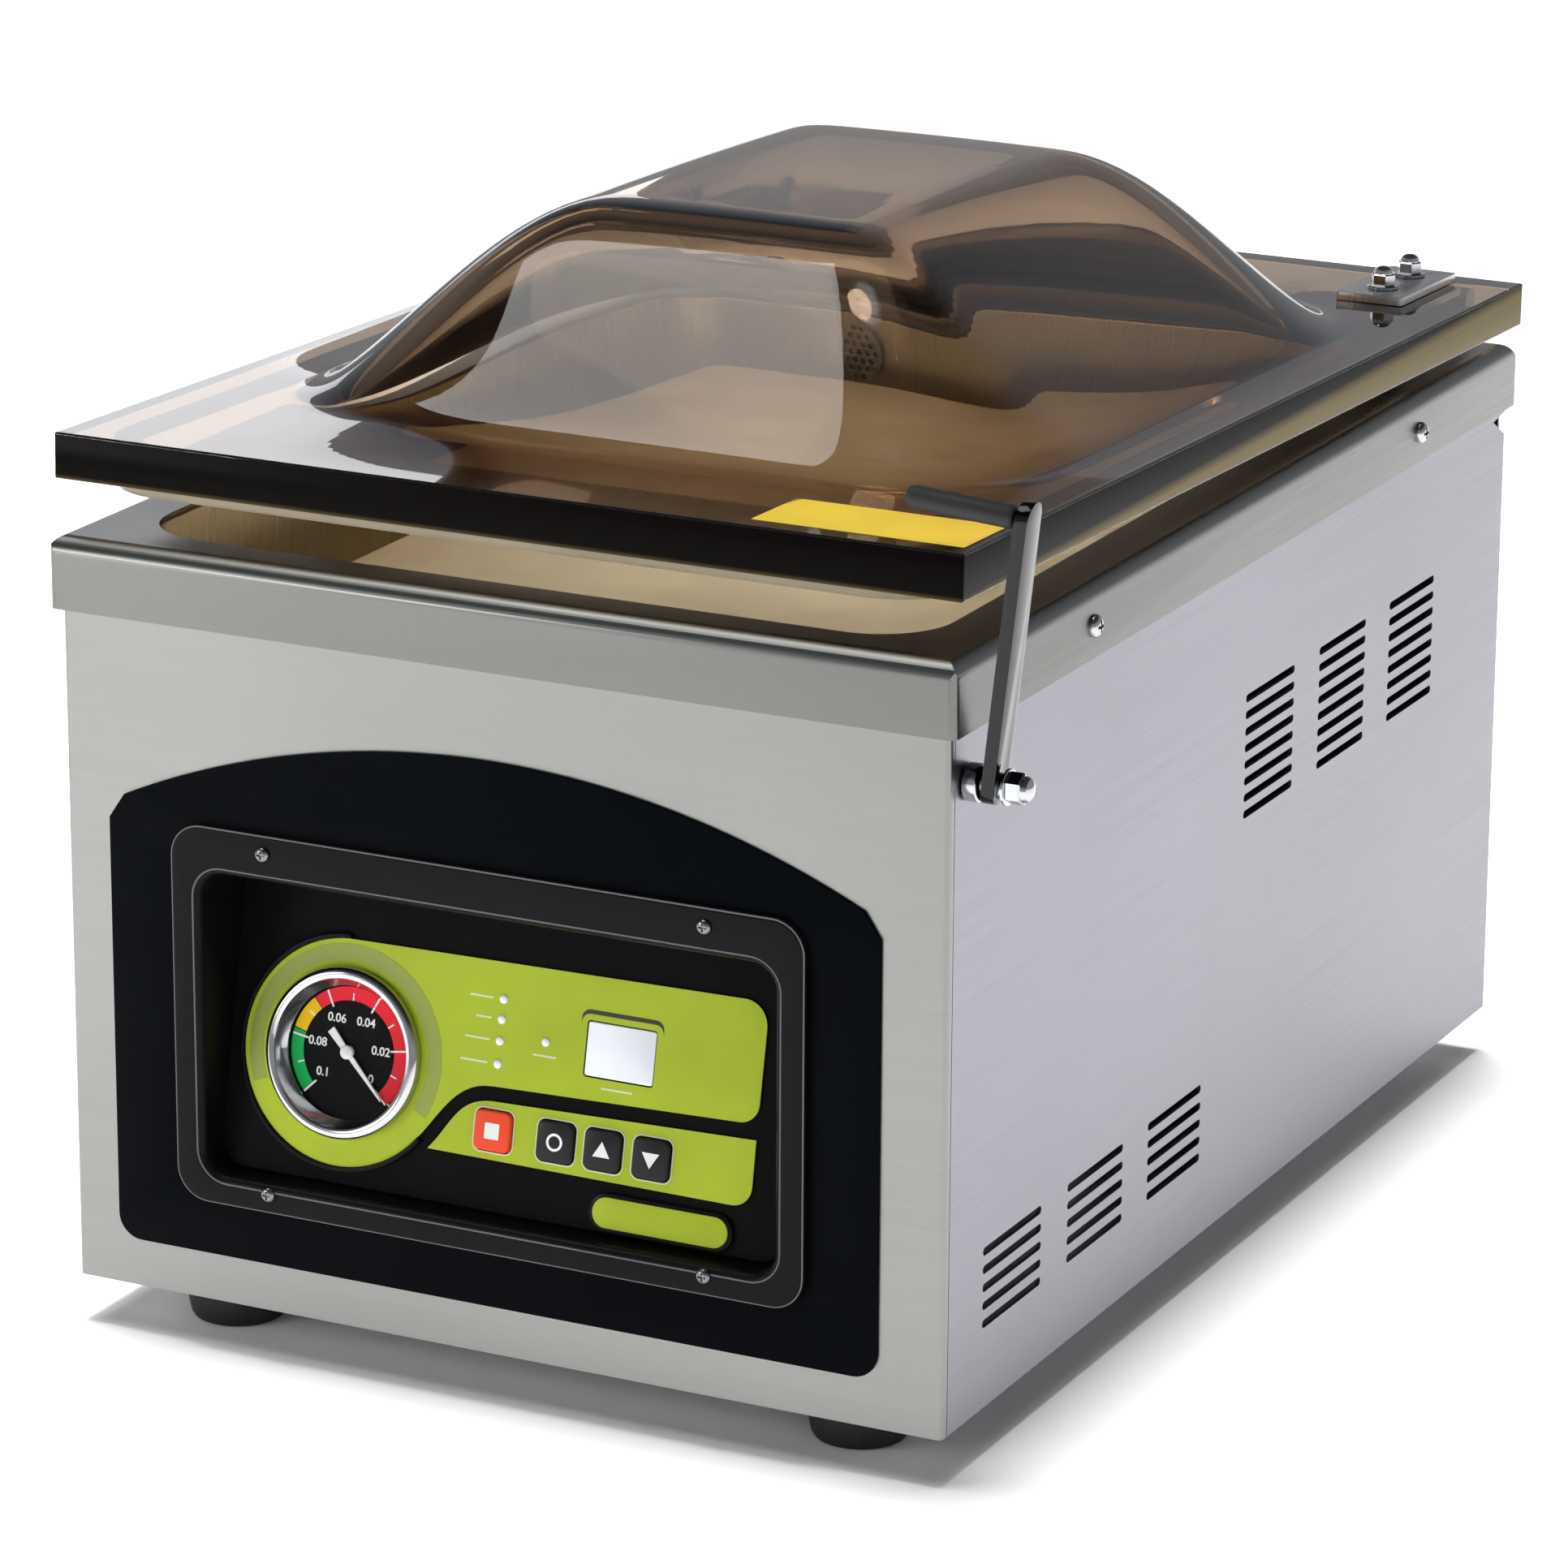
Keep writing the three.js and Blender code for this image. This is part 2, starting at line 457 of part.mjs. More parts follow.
// The lid sheet as two grids, upper and lower, closed round the edge.
function lidSheet() {
  const spread = (middle, half, low, high, count) => {
    const turn = (i) => Math.cos((Math.PI * i) / count);
    const inner = Array.from({ length: count + 1 }, (_, i) => middle - half * turn(i));
    return [low, ...inner, high];
  };
  const xs = spread(DOME.centreX, DOME.halfW, -LID.halfW, LID.halfW, 16);
  const ys = spread(DOME.centreY, DOME.halfD, LID.front, LID.rear, 18);
  const positions = [];
  for (const layer of [0, 1]) {
    for (const y of ys) {
      for (const x of xs) {
        const h = domeHeight(x, y);
        const inside = (h * (DOME.rise + LID.thick - DOME.crown)) / DOME.rise;
        positions.push(x, y, layer ? LID.thick + h : inside);
      }
    }
  }
  const nx = xs.length;
  const ny = ys.length;
  const id = (layer, i, j) => layer * nx * ny + j * nx + i;
  const faces = [];
  for (let j = 0; j < ny - 1; j += 1) {
    for (let i = 0; i < nx - 1; i += 1) {
      const low = [id(0, i, j), id(0, i + 1, j), id(0, i + 1, j + 1), id(0, i, j + 1)];
      const top = [id(1, i, j), id(1, i + 1, j), id(1, i + 1, j + 1), id(1, i, j + 1)];
      faces.push(top[0], top[1], top[2], top[0], top[2], top[3]);
      faces.push(low[0], low[2], low[1], low[0], low[3], low[2]);
    }
  }
  const rim = [];
  for (let i = 0; i < nx - 1; i += 1) rim.push([i, 0]);
  for (let j = 0; j < ny - 1; j += 1) rim.push([nx - 1, j]);
  for (let i = nx - 1; i > 0; i -= 1) rim.push([i, ny - 1]);
  for (let j = ny - 1; j > 0; j -= 1) rim.push([0, j]);
  rim.forEach(([i, j], k) => {
    const [p, q] = rim[(k + 1) % rim.length];
    faces.push(id(0, i, j), id(0, p, q), id(1, p, q), id(0, i, j), id(1, p, q), id(1, i, j));
  });
  const geometry = new THREE.BufferGeometry();
  geometry.setAttribute('position', new THREE.Float32BufferAttribute(positions, 3));
  geometry.setIndex(faces);
  return geometry;
}

const boltPlaces = [-1, 1].flatMap((side) => [BOLT.front, BOLT.rear].map((y) => [side, y]));
const boltHole = (side, y) => rod('z', BOLT.hole, BOLT.hole, -9, LID.thick + 9, 12)
  .translate(side * HINGE.x, y, 0);

function buildLid() {
  // The lid is laid out flat, then turned about the hinge axis so that it stands ajar.
  const lid = new THREE.Group();
  const sheet = new THREE.Group();
  const base = RIM.top + LID.lift;
  lid.position.set(0, HINGE.y, HINGE.z);
  lid.rotation.x = deg(-LID.ajar);
  sheet.position.set(0, -HINGE.y, base - HINGE.z);
  const holes = boltPlaces.map(([side, y]) => boltHole(side, y));
  add(sheet, 'lid_shell', cut(lidSheet(), ...holes), smokedAcrylic);
  const { halfW, front, rear, corner, width } = GASKET;
  const seal = rounded(halfW, front, rear, corner);
  const inside = rounded(halfW - width, front + width, rear - width, corner - width + 0.5);
  seal.holes.push(new THREE.Path(inside.getPoints(5)));
  add(sheet, 'lid_gasket', raise(seal, -LID.lift + GAP, -GAP, 5), silicone);
  add(sheet, 'lid_pressure_bar', block(
    -SEAL.length / 2, SEAL.length / 2, SEAL.y - PRESSURE_BAR.halfD, SEAL.y + PRESSURE_BAR.halfD,
    -PRESSURE_BAR.thick, -GAP,
  ), silicone);
  for (const [side, sx] of [['left', -1], ['right', 1]]) {
    const x0 = sx * HINGE.x - HINGE.leafW / 2;
    const pads = [BOLT.front, BOLT.rear].map((y) => boltHole(sx, y));
    const low = LID.thick + GAP;
    const plate = block(x0, x0 + HINGE.leafW, LEAF.front, LEAF.rear, low, low + LEAF.thick);
    add(sheet, `hinge_plate_${side}`, cut(plate, ...pads), steel);
    // The lower leaf runs back under the sheet to the middle knuckle.
    const leafTop = -GAP;
    const leafLow = leafTop - LEAF.thick;
    const strapRear = LEAF.rear + LEAF.under + 1;
    const strap = block(x0, x0 + HINGE.leafW, LEAF.front + LEAF.under, strapRear, leafLow, leafTop);
    const neck = block(
      sx * HINGE.x - HINGE.neck, sx * HINGE.x + HINGE.neck, strapRear - 2, HINGE.y, leafLow, leafTop,
    );
    const knuckle = rod('x', HINGE.knuckle, HINGE.knuckle, -HINGE.neck, HINGE.neck, 16)
      .translate(sx * HINGE.x, HINGE.y, HINGE.z - base);
    const bore = rod('x', HINGE.pin + GAP, HINGE.pin + GAP, -9, 9, 16)
      .translate(sx * HINGE.x, HINGE.y, HINGE.z - base);
    add(sheet, `hinge_leaf_${side}`, cut(join(strap, neck, knuckle), bore, ...pads), steel);
  }
  for (const [side, y] of boltPlaces) {
    const seat = LID.thick + 2 * GAP + LEAF.thick;
    const { shank, washer, nut } = BOLT;
    const bolt = lathe([[0, -2.9], [shank, -2.9], [shank, seat], [washer, seat], [washer, seat + 1],
      [nut, seat + 1.4], [nut, seat + 5], [nut - 1.3, seat + 7.6], [0, seat + 8.4]], 12);
    bolt.translate(side * HINGE.x, y, 0);
    const end = y === BOLT.front ? 'front' : 'rear';
    add(sheet, `lid_bolt_${side < 0 ? 'left' : 'right'}_${end}`, bolt, chrome);
  }
  lid.add(sheet);
  machine.add(lid);
}

// The fixed half of each hinge: a plate on the rim's rear face, two outer knuckles and the pin.
function hingeBracket(sx) {
  const x = sx * HINGE.x;
  const y0 = RIM.halfD + GAP;
  const { low, high, thick, ear, earHalf, earLow, earHigh } = BRACKET;
  const plate = block(x - HINGE.leafW / 2, x + HINGE.leafW / 2, y0, y0 + thick, low, high);
  const ears = [x - ear, x + ear].flatMap((middle) => [
    block(middle - earHalf, middle + earHalf, y0, HINGE.y, earLow, earHigh),
    rod('x', HINGE.knuckle, HINGE.knuckle, -earHalf, earHalf, 16).translate(middle, HINGE.y, HINGE.z),
  ]);
  const pin = rod('x', HINGE.pin, HINGE.pin, -HINGE.pinHalf, HINGE.pinHalf, 16)
    .translate(x, HINGE.y, HINGE.z);
  return join(plate, ...ears, pin);
}

// ---- hold-down lever ----
function buildLever() {
  const lever = new THREE.Group();
  lever.position.set(LEVER.x, LEVER.y, LEVER.z);
  lever.rotation.x = deg(LEVER.forward);
  const half = LEVER.armT / 2;
  const w = LEVER.armW / 2;
  const outline = new THREE.Shape();
  outline.absarc(0, 0, w + 0.4, Math.PI, 2 * Math.PI);
  outline.lineTo(w, 8);
  outline.absarc(0, LEVER.reach, w, 0, Math.PI);
  outline.lineTo(-w, 8);
  const bar = raise(outline, -half, half, 8).rotateX(Math.PI / 2).rotateZ(Math.PI / 2);
  // The bar leans outwards above its eye, so that the grip clears the lid's edge.
  const lean = new THREE.Matrix4().makeShear(0, 0, 0, 0, 0, 0);
  lean.elements[8] = Math.tan(deg(LEVER.lean));
  bar.applyMatrix4(lean);
  const eye = rod('x', STUD.hole, STUD.hole, -9, 9, 20);
  const topX = LEVER.reach * Math.tan(deg(LEVER.lean));
  const handle = new THREE.Object3D();
  handle.position.set(topX - half - 0.4, 0, LEVER.reach);
  handle.rotation.y = deg(GRIP.tilt);
  handle.updateMatrix();
  const tangR = GRIP.bore - GAP;
  const tang = rod('x', tangR, tangR, -GRIP.length + 3, 2, 16).applyMatrix4(handle.matrix);
  add(lever, 'lever_arm', cut(join(bar, tang), eye), chrome);
  const sleeve = cut(
    rod('x', GRIP.r, GRIP.r, -GRIP.length, -1.2, 20),
    rod('x', GRIP.bore, GRIP.bore, -GRIP.length + 2.5, 5, 16),
  );
  add(lever, 'lever_grip', sleeve.applyMatrix4(handle.matrix), rubber);
  machine.add(lever);
  const wall = BODY.halfW + GAP - LEVER.x;
  const { r, collar, washer, nut: nutR } = STUD;
  const stud = add(machine, 'lever_stud', lathe([[0, wall], [collar, wall], [collar, -half - 1.6],
    [r + 1, -half - 1.2], [r, -half - 1.2], [r, half + 1.9], [0, half + 1.9]], 20), chrome);
  const nut = add(machine, 'lever_nut', lathe([[0, half + 2.2], [washer, half + 2.2],
    [washer, half + 3.2], [nutR, half + 3.4], [nutR, half + 7.6], [nutR - 1.4, half + 10.4],
    [1.6, half + 11.6], [0, half + 11.8]], 12), chrome);
  for (const piece of [stud, nut]) {
    piece.rotation.y = Math.PI / 2;
    piece.position.set(LEVER.x, LEVER.y, LEVER.z);
  }
}

// ---- inside the chamber ----
function buildChamber() {
  const low = SEAL.top - SEAL.thick;
  const [halfL, halfD] = [SEAL.length / 2, SEAL.depth / 2];
  const bar = block(-halfL, halfL, SEAL.y - halfD, SEAL.y + halfD, low, SEAL.top);
  const rods = [-SEAL.post, SEAL.post].map((x) => rod(
    'z', CYLINDER.rod, CYLINDER.rod, low - SEAL.rodLength, low + 1, 16,
  ).translate(x, SEAL.y, 0));
  add(machine, 'seal_bar', join(bar, ...rods), castMetal);
  for (const [side, sx] of [['left', -1], ['right', 1]]) {
    const cylinder = cut(
      rod('z', CYLINDER.r, CYLINDER.r, chamberFloor + GAP, low - 2, 24),
      rod('z', CYLINDER.bore, CYLINDER.bore, chamberFloor + CYLINDER.floor, low + 5, 16),
    ).translate(sx * SEAL.post, SEAL.y, 0);
    add(machine, `seal_cylinder_${side}`, cylinder, chrome);
  }
  const board = raise(rounded(FILLER.halfW, FILLER.front, FILLER.rear, FILLER.corner),
    chamberFloor + GAP, chamberFloor + GAP + FILLER.thick, 3);
  add(machine, 'filler_plate', board, whitePoly);
  const cover = new THREE.Shape();
  cover.absellipse(0, 0, PORT.halfW, PORT.halfH, 0, 2 * Math.PI);
  const y1 = CHAMBER.rear - GAP;
  const screen = upright(cover, y1 - PORT.thick, y1, 10);
  add(machine, 'port_cover', screen, castMetal).position.set(PORT.x, 0, PORT.z);
}

// ---- machinery under the chamber ----
function buildMachinery() {
  const deckLow = BODY.bottom + SHEET + GAP;
  const motor = join(
    rod('y', MOTOR.r, MOTOR.r, MOTOR.front, MOTOR.rear, 32).translate(MOTOR.x, 0, deckLow + MOTOR.axis),
    block(MOTOR.x - MOTOR.footHalfW, MOTOR.x + MOTOR.footHalfW, MOTOR.front + 20, MOTOR.rear - 15,
      deckLow, deckLow + MOTOR.footHigh),
  );
  add(machine, 'pump_motor', motor, motorPaint);
  const pump = join(
    block(PUMP.left, PUMP.right, PUMP.front, PUMP.rear, deckLow, deckLow + PUMP.height),
    rod('z', PUMP_PORT.r, PUMP_PORT.r, deckLow + PUMP_PORT.low, deckLow + PUMP_PORT.high, 20)
      .translate(PUMP_PORT.x, PUMP_PORT.y, 0),
    rod('y', COUPLING.r, COUPLING.r, COUPLING.front, MOTOR.front - COUPLING.gap, 24)
      .translate(MOTOR.x, 0, deckLow + MOTOR.axis),
    rod('z', FILTER.r, FILTER.r, deckLow + FILTER.low, deckLow + FILTER.high, 24)
      .translate(FILTER.x, FILTER.y, 0),
  );
  add(machine, 'vacuum_pump', pump, castMetal);
  const { x, halfW, front, rear, height, lap } = COIL;
  const core = join(
    block(x - halfW, x + halfW, front, rear, deckLow, deckLow + height),
    block(x - halfW + lap, x + halfW - lap, front - lap, rear + lap,
      deckLow + lap, deckLow + height - lap),
  );
  add(machine, 'transformer', core, copper);
  const valve = join(
    block(VALVE.x - VALVE.halfW, VALVE.x + VALVE.halfW, VALVE.y - VALVE.halfD, VALVE.y + VALVE.halfD,
      VALVE.low, VALVE.high),
    rod('z', VALVE.coil, VALVE.coil, VALVE.high, VALVE.tip, 20).translate(VALVE.x, VALVE.y, 0),
  );
  add(machine, 'solenoid_valve', valve, castMetal);
  // The hose leaves the port, bends down behind the tub and runs forward to the pump's port.
  const inletTop = deckLow + PUMP_PORT.high + 1;
  const route = new THREE.CatmullRomCurve3([
    new THREE.Vector3(PORT.x, CHAMBER.rear + SHEET + 1, PORT.z),
    new THREE.Vector3(PORT.x, CHAMBER.rear + 12, PORT.z),
    new THREE.Vector3(PORT.x, CHAMBER.rear + 26, PORT.z - 5),
    new THREE.Vector3(PORT.x, CHAMBER.rear + 38, PORT.z - 28),
    new THREE.Vector3(PORT.x, CHAMBER.rear + 26, PORT.z - 62),
    new THREE.Vector3(PORT.x, CHAMBER.rear - 30, PORT.z - 76),
    new THREE.Vector3(PORT.x, 40, PORT.z - 76),
    new THREE.Vector3(PORT.x, -12, PORT.z - 80),
    new THREE.Vector3(PORT.x, PUMP_PORT.y, inletTop + 9),
    new THREE.Vector3(PORT.x, PUMP_PORT.y, inletTop),
  ]);
  const section = new THREE.Shape();
  section.absarc(0, 0, HOSE.r, 0, 2 * Math.PI);
  const sweep = { steps: HOSE.steps, extrudePath: route, curveSegments: 4 };
  const hose = new THREE.ExtrudeGeometry(section, sweep);
  add(machine, 'vacuum_hose', hose, hosePvc);
}

// ---- mains inlet and switch on the rear panel ----
function buildPower() {
  const y = BODY.halfD - REAR_INSET + GAP;
  const sockets = [INLET, SWITCH];
  const { wall } = SOCKET;
  const shells = sockets.map((p) => block(
    p.x - p.halfW - wall, p.x + p.halfW + wall, y - p.depth, y + 1,
    p.z - p.halfH - wall, p.z + p.halfH + wall,
  ));
  const flange = block(SWITCH.x - SOCKET.left, INLET.x + SOCKET.right, y, y + SOCKET.flange,
    INLET.z - SOCKET.flangeHalfH, INLET.z + SOCKET.flangeHalfH);
  const pockets = sockets.map((p) => block(
    p.x - p.halfW, p.x + p.halfW, y - p.depth + wall, y + 9, p.z - p.halfH, p.z + p.halfH,
  ));
  // The earth pin stands in the middle, above the two live ones.
  const pinRoot = y - INLET.depth + 1;
  const pins = [[-7, -1], [0, 3], [7, -1]].map(([x, z]) => block(
    INLET.x + x - 1, INLET.x + x + 1, pinRoot, pinRoot + 11, INLET.z + z - 2.5, INLET.z + z + 2.5,
  ));
  add(machine, 'power_inlet', join(cut(join(flange, ...shells), ...pockets), ...pins), blackPlastic);
  // The rocker's two faces meet in a shallow vee over its pivot.
  const side = new THREE.Shape([
    new THREE.Vector2(-3, -6), new THREE.Vector2(3, -6), new THREE.Vector2(4.2, -9.6),
    new THREE.Vector2(6, -9.6), new THREE.Vector2(3.6, 0), new THREE.Vector2(6, 9.6),
    new THREE.Vector2(4.2, 9.6), new THREE.Vector2(-3, 6),
  ]);
  const rockerHalf = SWITCH.halfW - ROCKER.side;
  const rocker = raise(side, -rockerHalf, rockerHalf)
    .rotateX(Math.PI / 2).rotateZ(Math.PI / 2);
  const piece = add(machine, 'power_switch', rocker, dialBlack);
  piece.position.set(SWITCH.x, y - ROCKER.proud, SWITCH.z);
  piece.rotation.x = deg(-ROCKER.tilt);
}

buildCabinet();
buildControls();
buildGauge();
buildLid();
for (const [side, sx] of [['left', -1], ['right', 1]]) {
  add(machine, `hinge_bracket_${side}`, hingeBracket(sx), steel);
}
buildLever();
buildChamber();
buildMachinery();
buildPower();

// Put the origin at the bottom centre of the machine's envelope.
const envelope = new THREE.Box3().setFromObject(machine, true);
const centre = envelope.getCenter(new THREE.Vector3());
machine.position.set(-centre.x, -centre.y, -envelope.min.z);

export default machine;
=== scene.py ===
import json
import math

import bmesh
import bpy
from mathutils import Matrix, Vector


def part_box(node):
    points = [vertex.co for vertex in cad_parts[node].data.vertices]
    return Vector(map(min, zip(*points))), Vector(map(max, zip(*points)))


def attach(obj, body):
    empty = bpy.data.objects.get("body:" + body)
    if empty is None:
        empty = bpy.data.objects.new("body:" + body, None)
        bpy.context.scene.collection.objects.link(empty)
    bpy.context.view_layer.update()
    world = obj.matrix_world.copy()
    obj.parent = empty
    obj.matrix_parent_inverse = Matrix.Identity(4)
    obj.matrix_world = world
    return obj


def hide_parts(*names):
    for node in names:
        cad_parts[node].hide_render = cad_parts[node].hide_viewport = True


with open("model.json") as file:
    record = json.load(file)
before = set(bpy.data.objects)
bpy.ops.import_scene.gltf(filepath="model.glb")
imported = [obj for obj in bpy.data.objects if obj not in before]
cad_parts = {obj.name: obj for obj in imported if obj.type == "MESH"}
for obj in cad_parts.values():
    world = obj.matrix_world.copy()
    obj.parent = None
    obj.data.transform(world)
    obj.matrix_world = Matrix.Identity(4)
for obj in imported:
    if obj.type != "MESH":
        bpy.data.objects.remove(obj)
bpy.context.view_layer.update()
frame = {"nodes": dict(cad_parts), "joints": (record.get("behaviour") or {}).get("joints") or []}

# ---- places, in millimetres inside the frames below ----
MM = 0.001
JOINTS = {joint["name"]: joint for joint in frame["joints"]}
BODY = {"half_w": 168.7, "half_d": 250.7, "bottom": 17.5, "top": 278.0}
RIM = {"half_w": 172.0, "half_d": 254.0, "top": 288.5, "skirt": 26.0, "roll": 6.5, "rear_roll": 15.0,
       "corner": 3.0}
RIM_SCREW = {"front": -145.0, "rear": 152.0, "z": 274.0}
FOOT = {"x": 123.0, "y": 218.0}
SHEET = 1.5
GAP = 0.3
CHAMBER = {"half_w": 150.0, "front": -236.0, "rear": 176.0, "floor": 222.5, "corner": 27.0, "fillet": 9.0}
LID = {"half_w": 171.6, "front": -249.4, "rear": 257.0, "thick": 16.2, "hinge_y": 263.5, "hinge_drop": 7.8}
DOME = {"half_w": 145.3, "half_d": 184.0, "x": 5.0, "y": 2.3, "rise": 70.0, "crown": 8.0, "sag": 0.055}
DOME_WALL = {"side_run": 97.0, "front_run": 90.0, "rear_run": 111.0, "plan": 2.8, "steepness": 0.69}
HINGE = {"x": 134.5, "half_w": 13.5, "front": 190.0, "rear": 247.0, "thick": 3.0}
BOLTS = {"front": 205.0, "rear": 232.0, "bore": 2.8}
LID_SEAL = {"half_w": 163.0, "front": -246.0, "rear": 186.0, "corner": 30.0}
PRESSURE_BAR = {"front": -221.0, "rear": -207.0, "drop": 8.0}
STICKER = {"x": 129.5, "y": -224.3, "width": 77.0, "depth": 34.0, "end_x": 155.0, "end_width": 24.0}
LEVER = {"x": 178.5, "y": -237.0, "z": 244.2, "reach": 97.5, "forward": 10.7, "lean": 10.6, "half_w": 6.0,
         "thick": 4.7}
GRIP = {"tilt": 4.5, "length": 39.0, "radius": 3.9}
SEAL_BAR = {"half_w": 128.0, "front": -223.0, "rear": -205.0, "low": 250.0, "top": 268.6, "tape_top": 270.0}
SEAL_CYLINDER = {"x": 92.0, "y": -214.0, "top": 248.0}
FILLER = {"half_w": 122.0, "front": -186.0, "rear": 150.0, "corner": 8.0, "thick": 34.0}
PORT = {"x": -66.0, "z": 266.0, "half_w": 12.5, "half_h": 16.0, "hole": 1.5, "pitch": 4.6, "rows": 4.4}
PANEL_X = -2.9
RECESS = {"half_w": 110.6, "low": 66.0, "top": 176.0, "corner": 9.0, "depth": 36.5}
FLANGE = {"half_w": 121.7, "low": 55.6, "top": 192.9, "corner": 12.0, "proud": 4.6}
PANEL_SCREW = {"x": 84.8, "upper": 186.4, "lower": 62.6}
TRIM = {"half_w": 148.0, "low": 35.2, "side": 196.0, "apex": 230.7, "corner": 9.0, "ease": 6.0}
FACE = {"z": 60.0, "inset": 3.9, "tilt": 12.0, "low": 7.4, "top": 117.8, "corner": 10.0}
GAUGE = {"x": -64.2, "w": 53.2, "bezel": 30.1, "bore": 25.8, "eye": 23.4}
DISPLAY = {"x": 41.6, "w": 69.2, "width": 26.0, "height": 18.6}
KEYS = {"stop_button": -3.7, "set_button": 20.6, "up_button": 38.8, "down_button": 57.4}
KEY = {"w": 35.4, "size": 14.0, "top": 2.5}
BADGE = {"x": 63.0, "w": 14.6}
FILM = {"low": 0.3, "top": 0.9}
PRINT_TOP = 1.0


def at(x, y, z):
    return Matrix.Translation((x, y, z))


def turn(degrees, axis):
    return Matrix.Rotation(math.radians(degrees), 4, axis)


def middle(node):
    low, high = (Vector(corner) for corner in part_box(node))
    return (low + high) / 2


rim_middle = middle("deck_rim")
CABINET = at(rim_middle.x, rim_middle.y, 0) @ Matrix.Scale(MM, 4)
SIDEWAYS = Matrix(((0, 0, 1, 0), (1, 0, 0, 0), (0, 1, 0, 0), (0, 0, 0, 1)))


def upright(x, y, z, lean=0.0):
    """A frame on a wall that faces -Y: local x is +X, y is up the wall and z is out of it."""
    return CABINET @ at(x, y, z) @ turn(90 - lean, "X")


AJAR = JOINTS["lid_hinge"]["range_deg"][0]
LID_FRAME = (at(*JOINTS["lid_hinge"]["pos_m"]) @ Matrix.Scale(MM, 4) @ turn(AJAR, "X")
             @ at(0, -LID["hinge_y"], LID["hinge_drop"]))
LEVER_STUD = CABINET @ at(LEVER["x"], LEVER["y"], LEVER["z"])
LEVER_FRAME = LEVER_STUD @ turn(LEVER["forward"], "X")
FACE_FRAME = upright(PANEL_X, -BODY["half_d"] + FACE["inset"], FACE["z"], FACE["tilt"])
GAUGE_FRAME = FACE_FRAME @ at(GAUGE["x"], GAUGE["w"], 0)


# ---- outlines ----
def arc(x, y, radius, start, end, steps=8):
    angles = [math.radians(start + (end - start) * i / steps) for i in range(steps + 1)]
    return [(x + radius * math.cos(a), y + radius * math.sin(a)) for a in angles]


def rounded(x0, x1, y0, y1, radius, steps=8):
    corners = ((x1 - radius, y0 + radius, -90), (x1 - radius, y1 - radius, 0),
               (x0 + radius, y1 - radius, 90), (x0 + radius, y0 + radius, 180))
    return [point for x, y, start in corners for point in arc(x, y, radius, start, start + 90, steps)]


def centred(x, y, width, height, radius, steps=6):
    return rounded(x - width / 2, x + width / 2, y - height / 2, y + height / 2, radius, steps)


def circle(radius, steps=48, x=0.0, y=0.0):
    return arc(x, y, radius, 0, 360, steps)[:-1]


def bezier(p0, p1, p2, p3, steps=14):
    points = []
    for i in range(steps + 1):
        t = i / steps
        k = ((1 - t) ** 3, 3 * t * (1 - t) ** 2, 3 * t * t * (1 - t), t ** 3)
        points.append(tuple(sum(w * p[axis] for w, p in zip(k, (p0, p1, p2, p3))) for axis in (0, 1)))
    return points


def sector(inner, outer, start, end, steps=24):
    return arc(0, 0, outer, start, end, steps) + arc(0, 0, inner, end, start, steps)


# ---- solids, as bmesh in millimetres ----
def loft(rings, closed=False):
    """Joins rings of equally many points. The ends are capped, or joined to each other when closed."""
    bm = bmesh.new()
    rows = [[bm.verts.new(point) for point in ring] for ring in rings]
    for low, high in zip(rows, rows[1:] + rows[:1] if closed else rows[1:]):
        for i in range(len(low)):
            j = (i + 1) % len(low)
            bm.faces.new((low[i], low[j], high[j], high[i]))
    if not closed:
        bm.faces.new(rows[0])
        bm.faces.new(rows[-1])
    bmesh.ops.recalc_face_normals(bm, faces=bm.faces)
    return bm


def lathe(profile, steps=48, closed=False):
    return loft([[(x, y, z) for x, y in circle(r, steps)] for r, z in profile], closed)


def prism(outline, low, high):
    return loft([[(x, y, z) for x, y in outline] for z in (low, high)])


def block(x0, x1, y0, y1, z0, z1):
    return prism([(x0, y0), (x1, y0), (x1, y1), (x0, y1)], z0, z1)


def link(name, data):
    made = bpy.data.objects.new(name, data)
    bpy.context.scene.collection.objects.link(made)
    return made


def baked(made):
    """The object's final mesh as a bmesh; the object goes."""
    result = bmesh.new()
    mesh = bpy.data.meshes.new_from_object(made.evaluated_get(bpy.context.evaluated_depsgraph_get()))
    result.from_mesh(mesh)
    bpy.data.meshes.remove(mesh)
    bpy.data.objects.remove(made)
    return result


def to_object(bm):
    mesh = bpy.data.meshes.new("tool")
    bm.to_mesh(mesh)
    bm.free()
    return link("tool", mesh)


def combine(base, tool, operation="DIFFERENCE"):
    target, cutter = to_object(base), to_object(tool)
    step = target.modifiers.new("combine", "BOOLEAN")
    step.operation, step.object, step.solver = operation, cutter, "EXACT"
    result = baked(target)
    bpy.data.objects.remove(cutter)
    return result


def merge(*solids):
    """Puts several separate solids in one mesh."""
    result = bmesh.new()
    for bm in solids:
        mesh = bpy.data.meshes.new("part")
        bm.to_mesh(mesh)
        bm.free()
        result.from_mesh(mesh)
        bpy.data.meshes.remove(mesh)
    return result


def plate(outlines, low, high):
    """A flat plate; the first outline is its edge and the others are holes."""
    curve = bpy.data.curves.new("plate", "CURVE")
    curve.dimensions, curve.fill_mode, curve.extrude = "2D", "BOTH", (high - low) / 2
    for outline in outlines:
        spline = curve.splines.new("POLY")
        spline.points.add(len(outline) - 1)
        for point, (x, y) in zip(spline.points, outline):
            point.co = (x, y, 0, 1)
        spline.use_cyclic_u = True
    bm = shift(baked(link("plate", curve)), 0, 0, (low + high) / 2)
    bmesh.ops.remove_doubles(bm, verts=bm.verts, dist=1e-4)
    bmesh.ops.recalc_face_normals(bm, faces=bm.faces)
    return bm


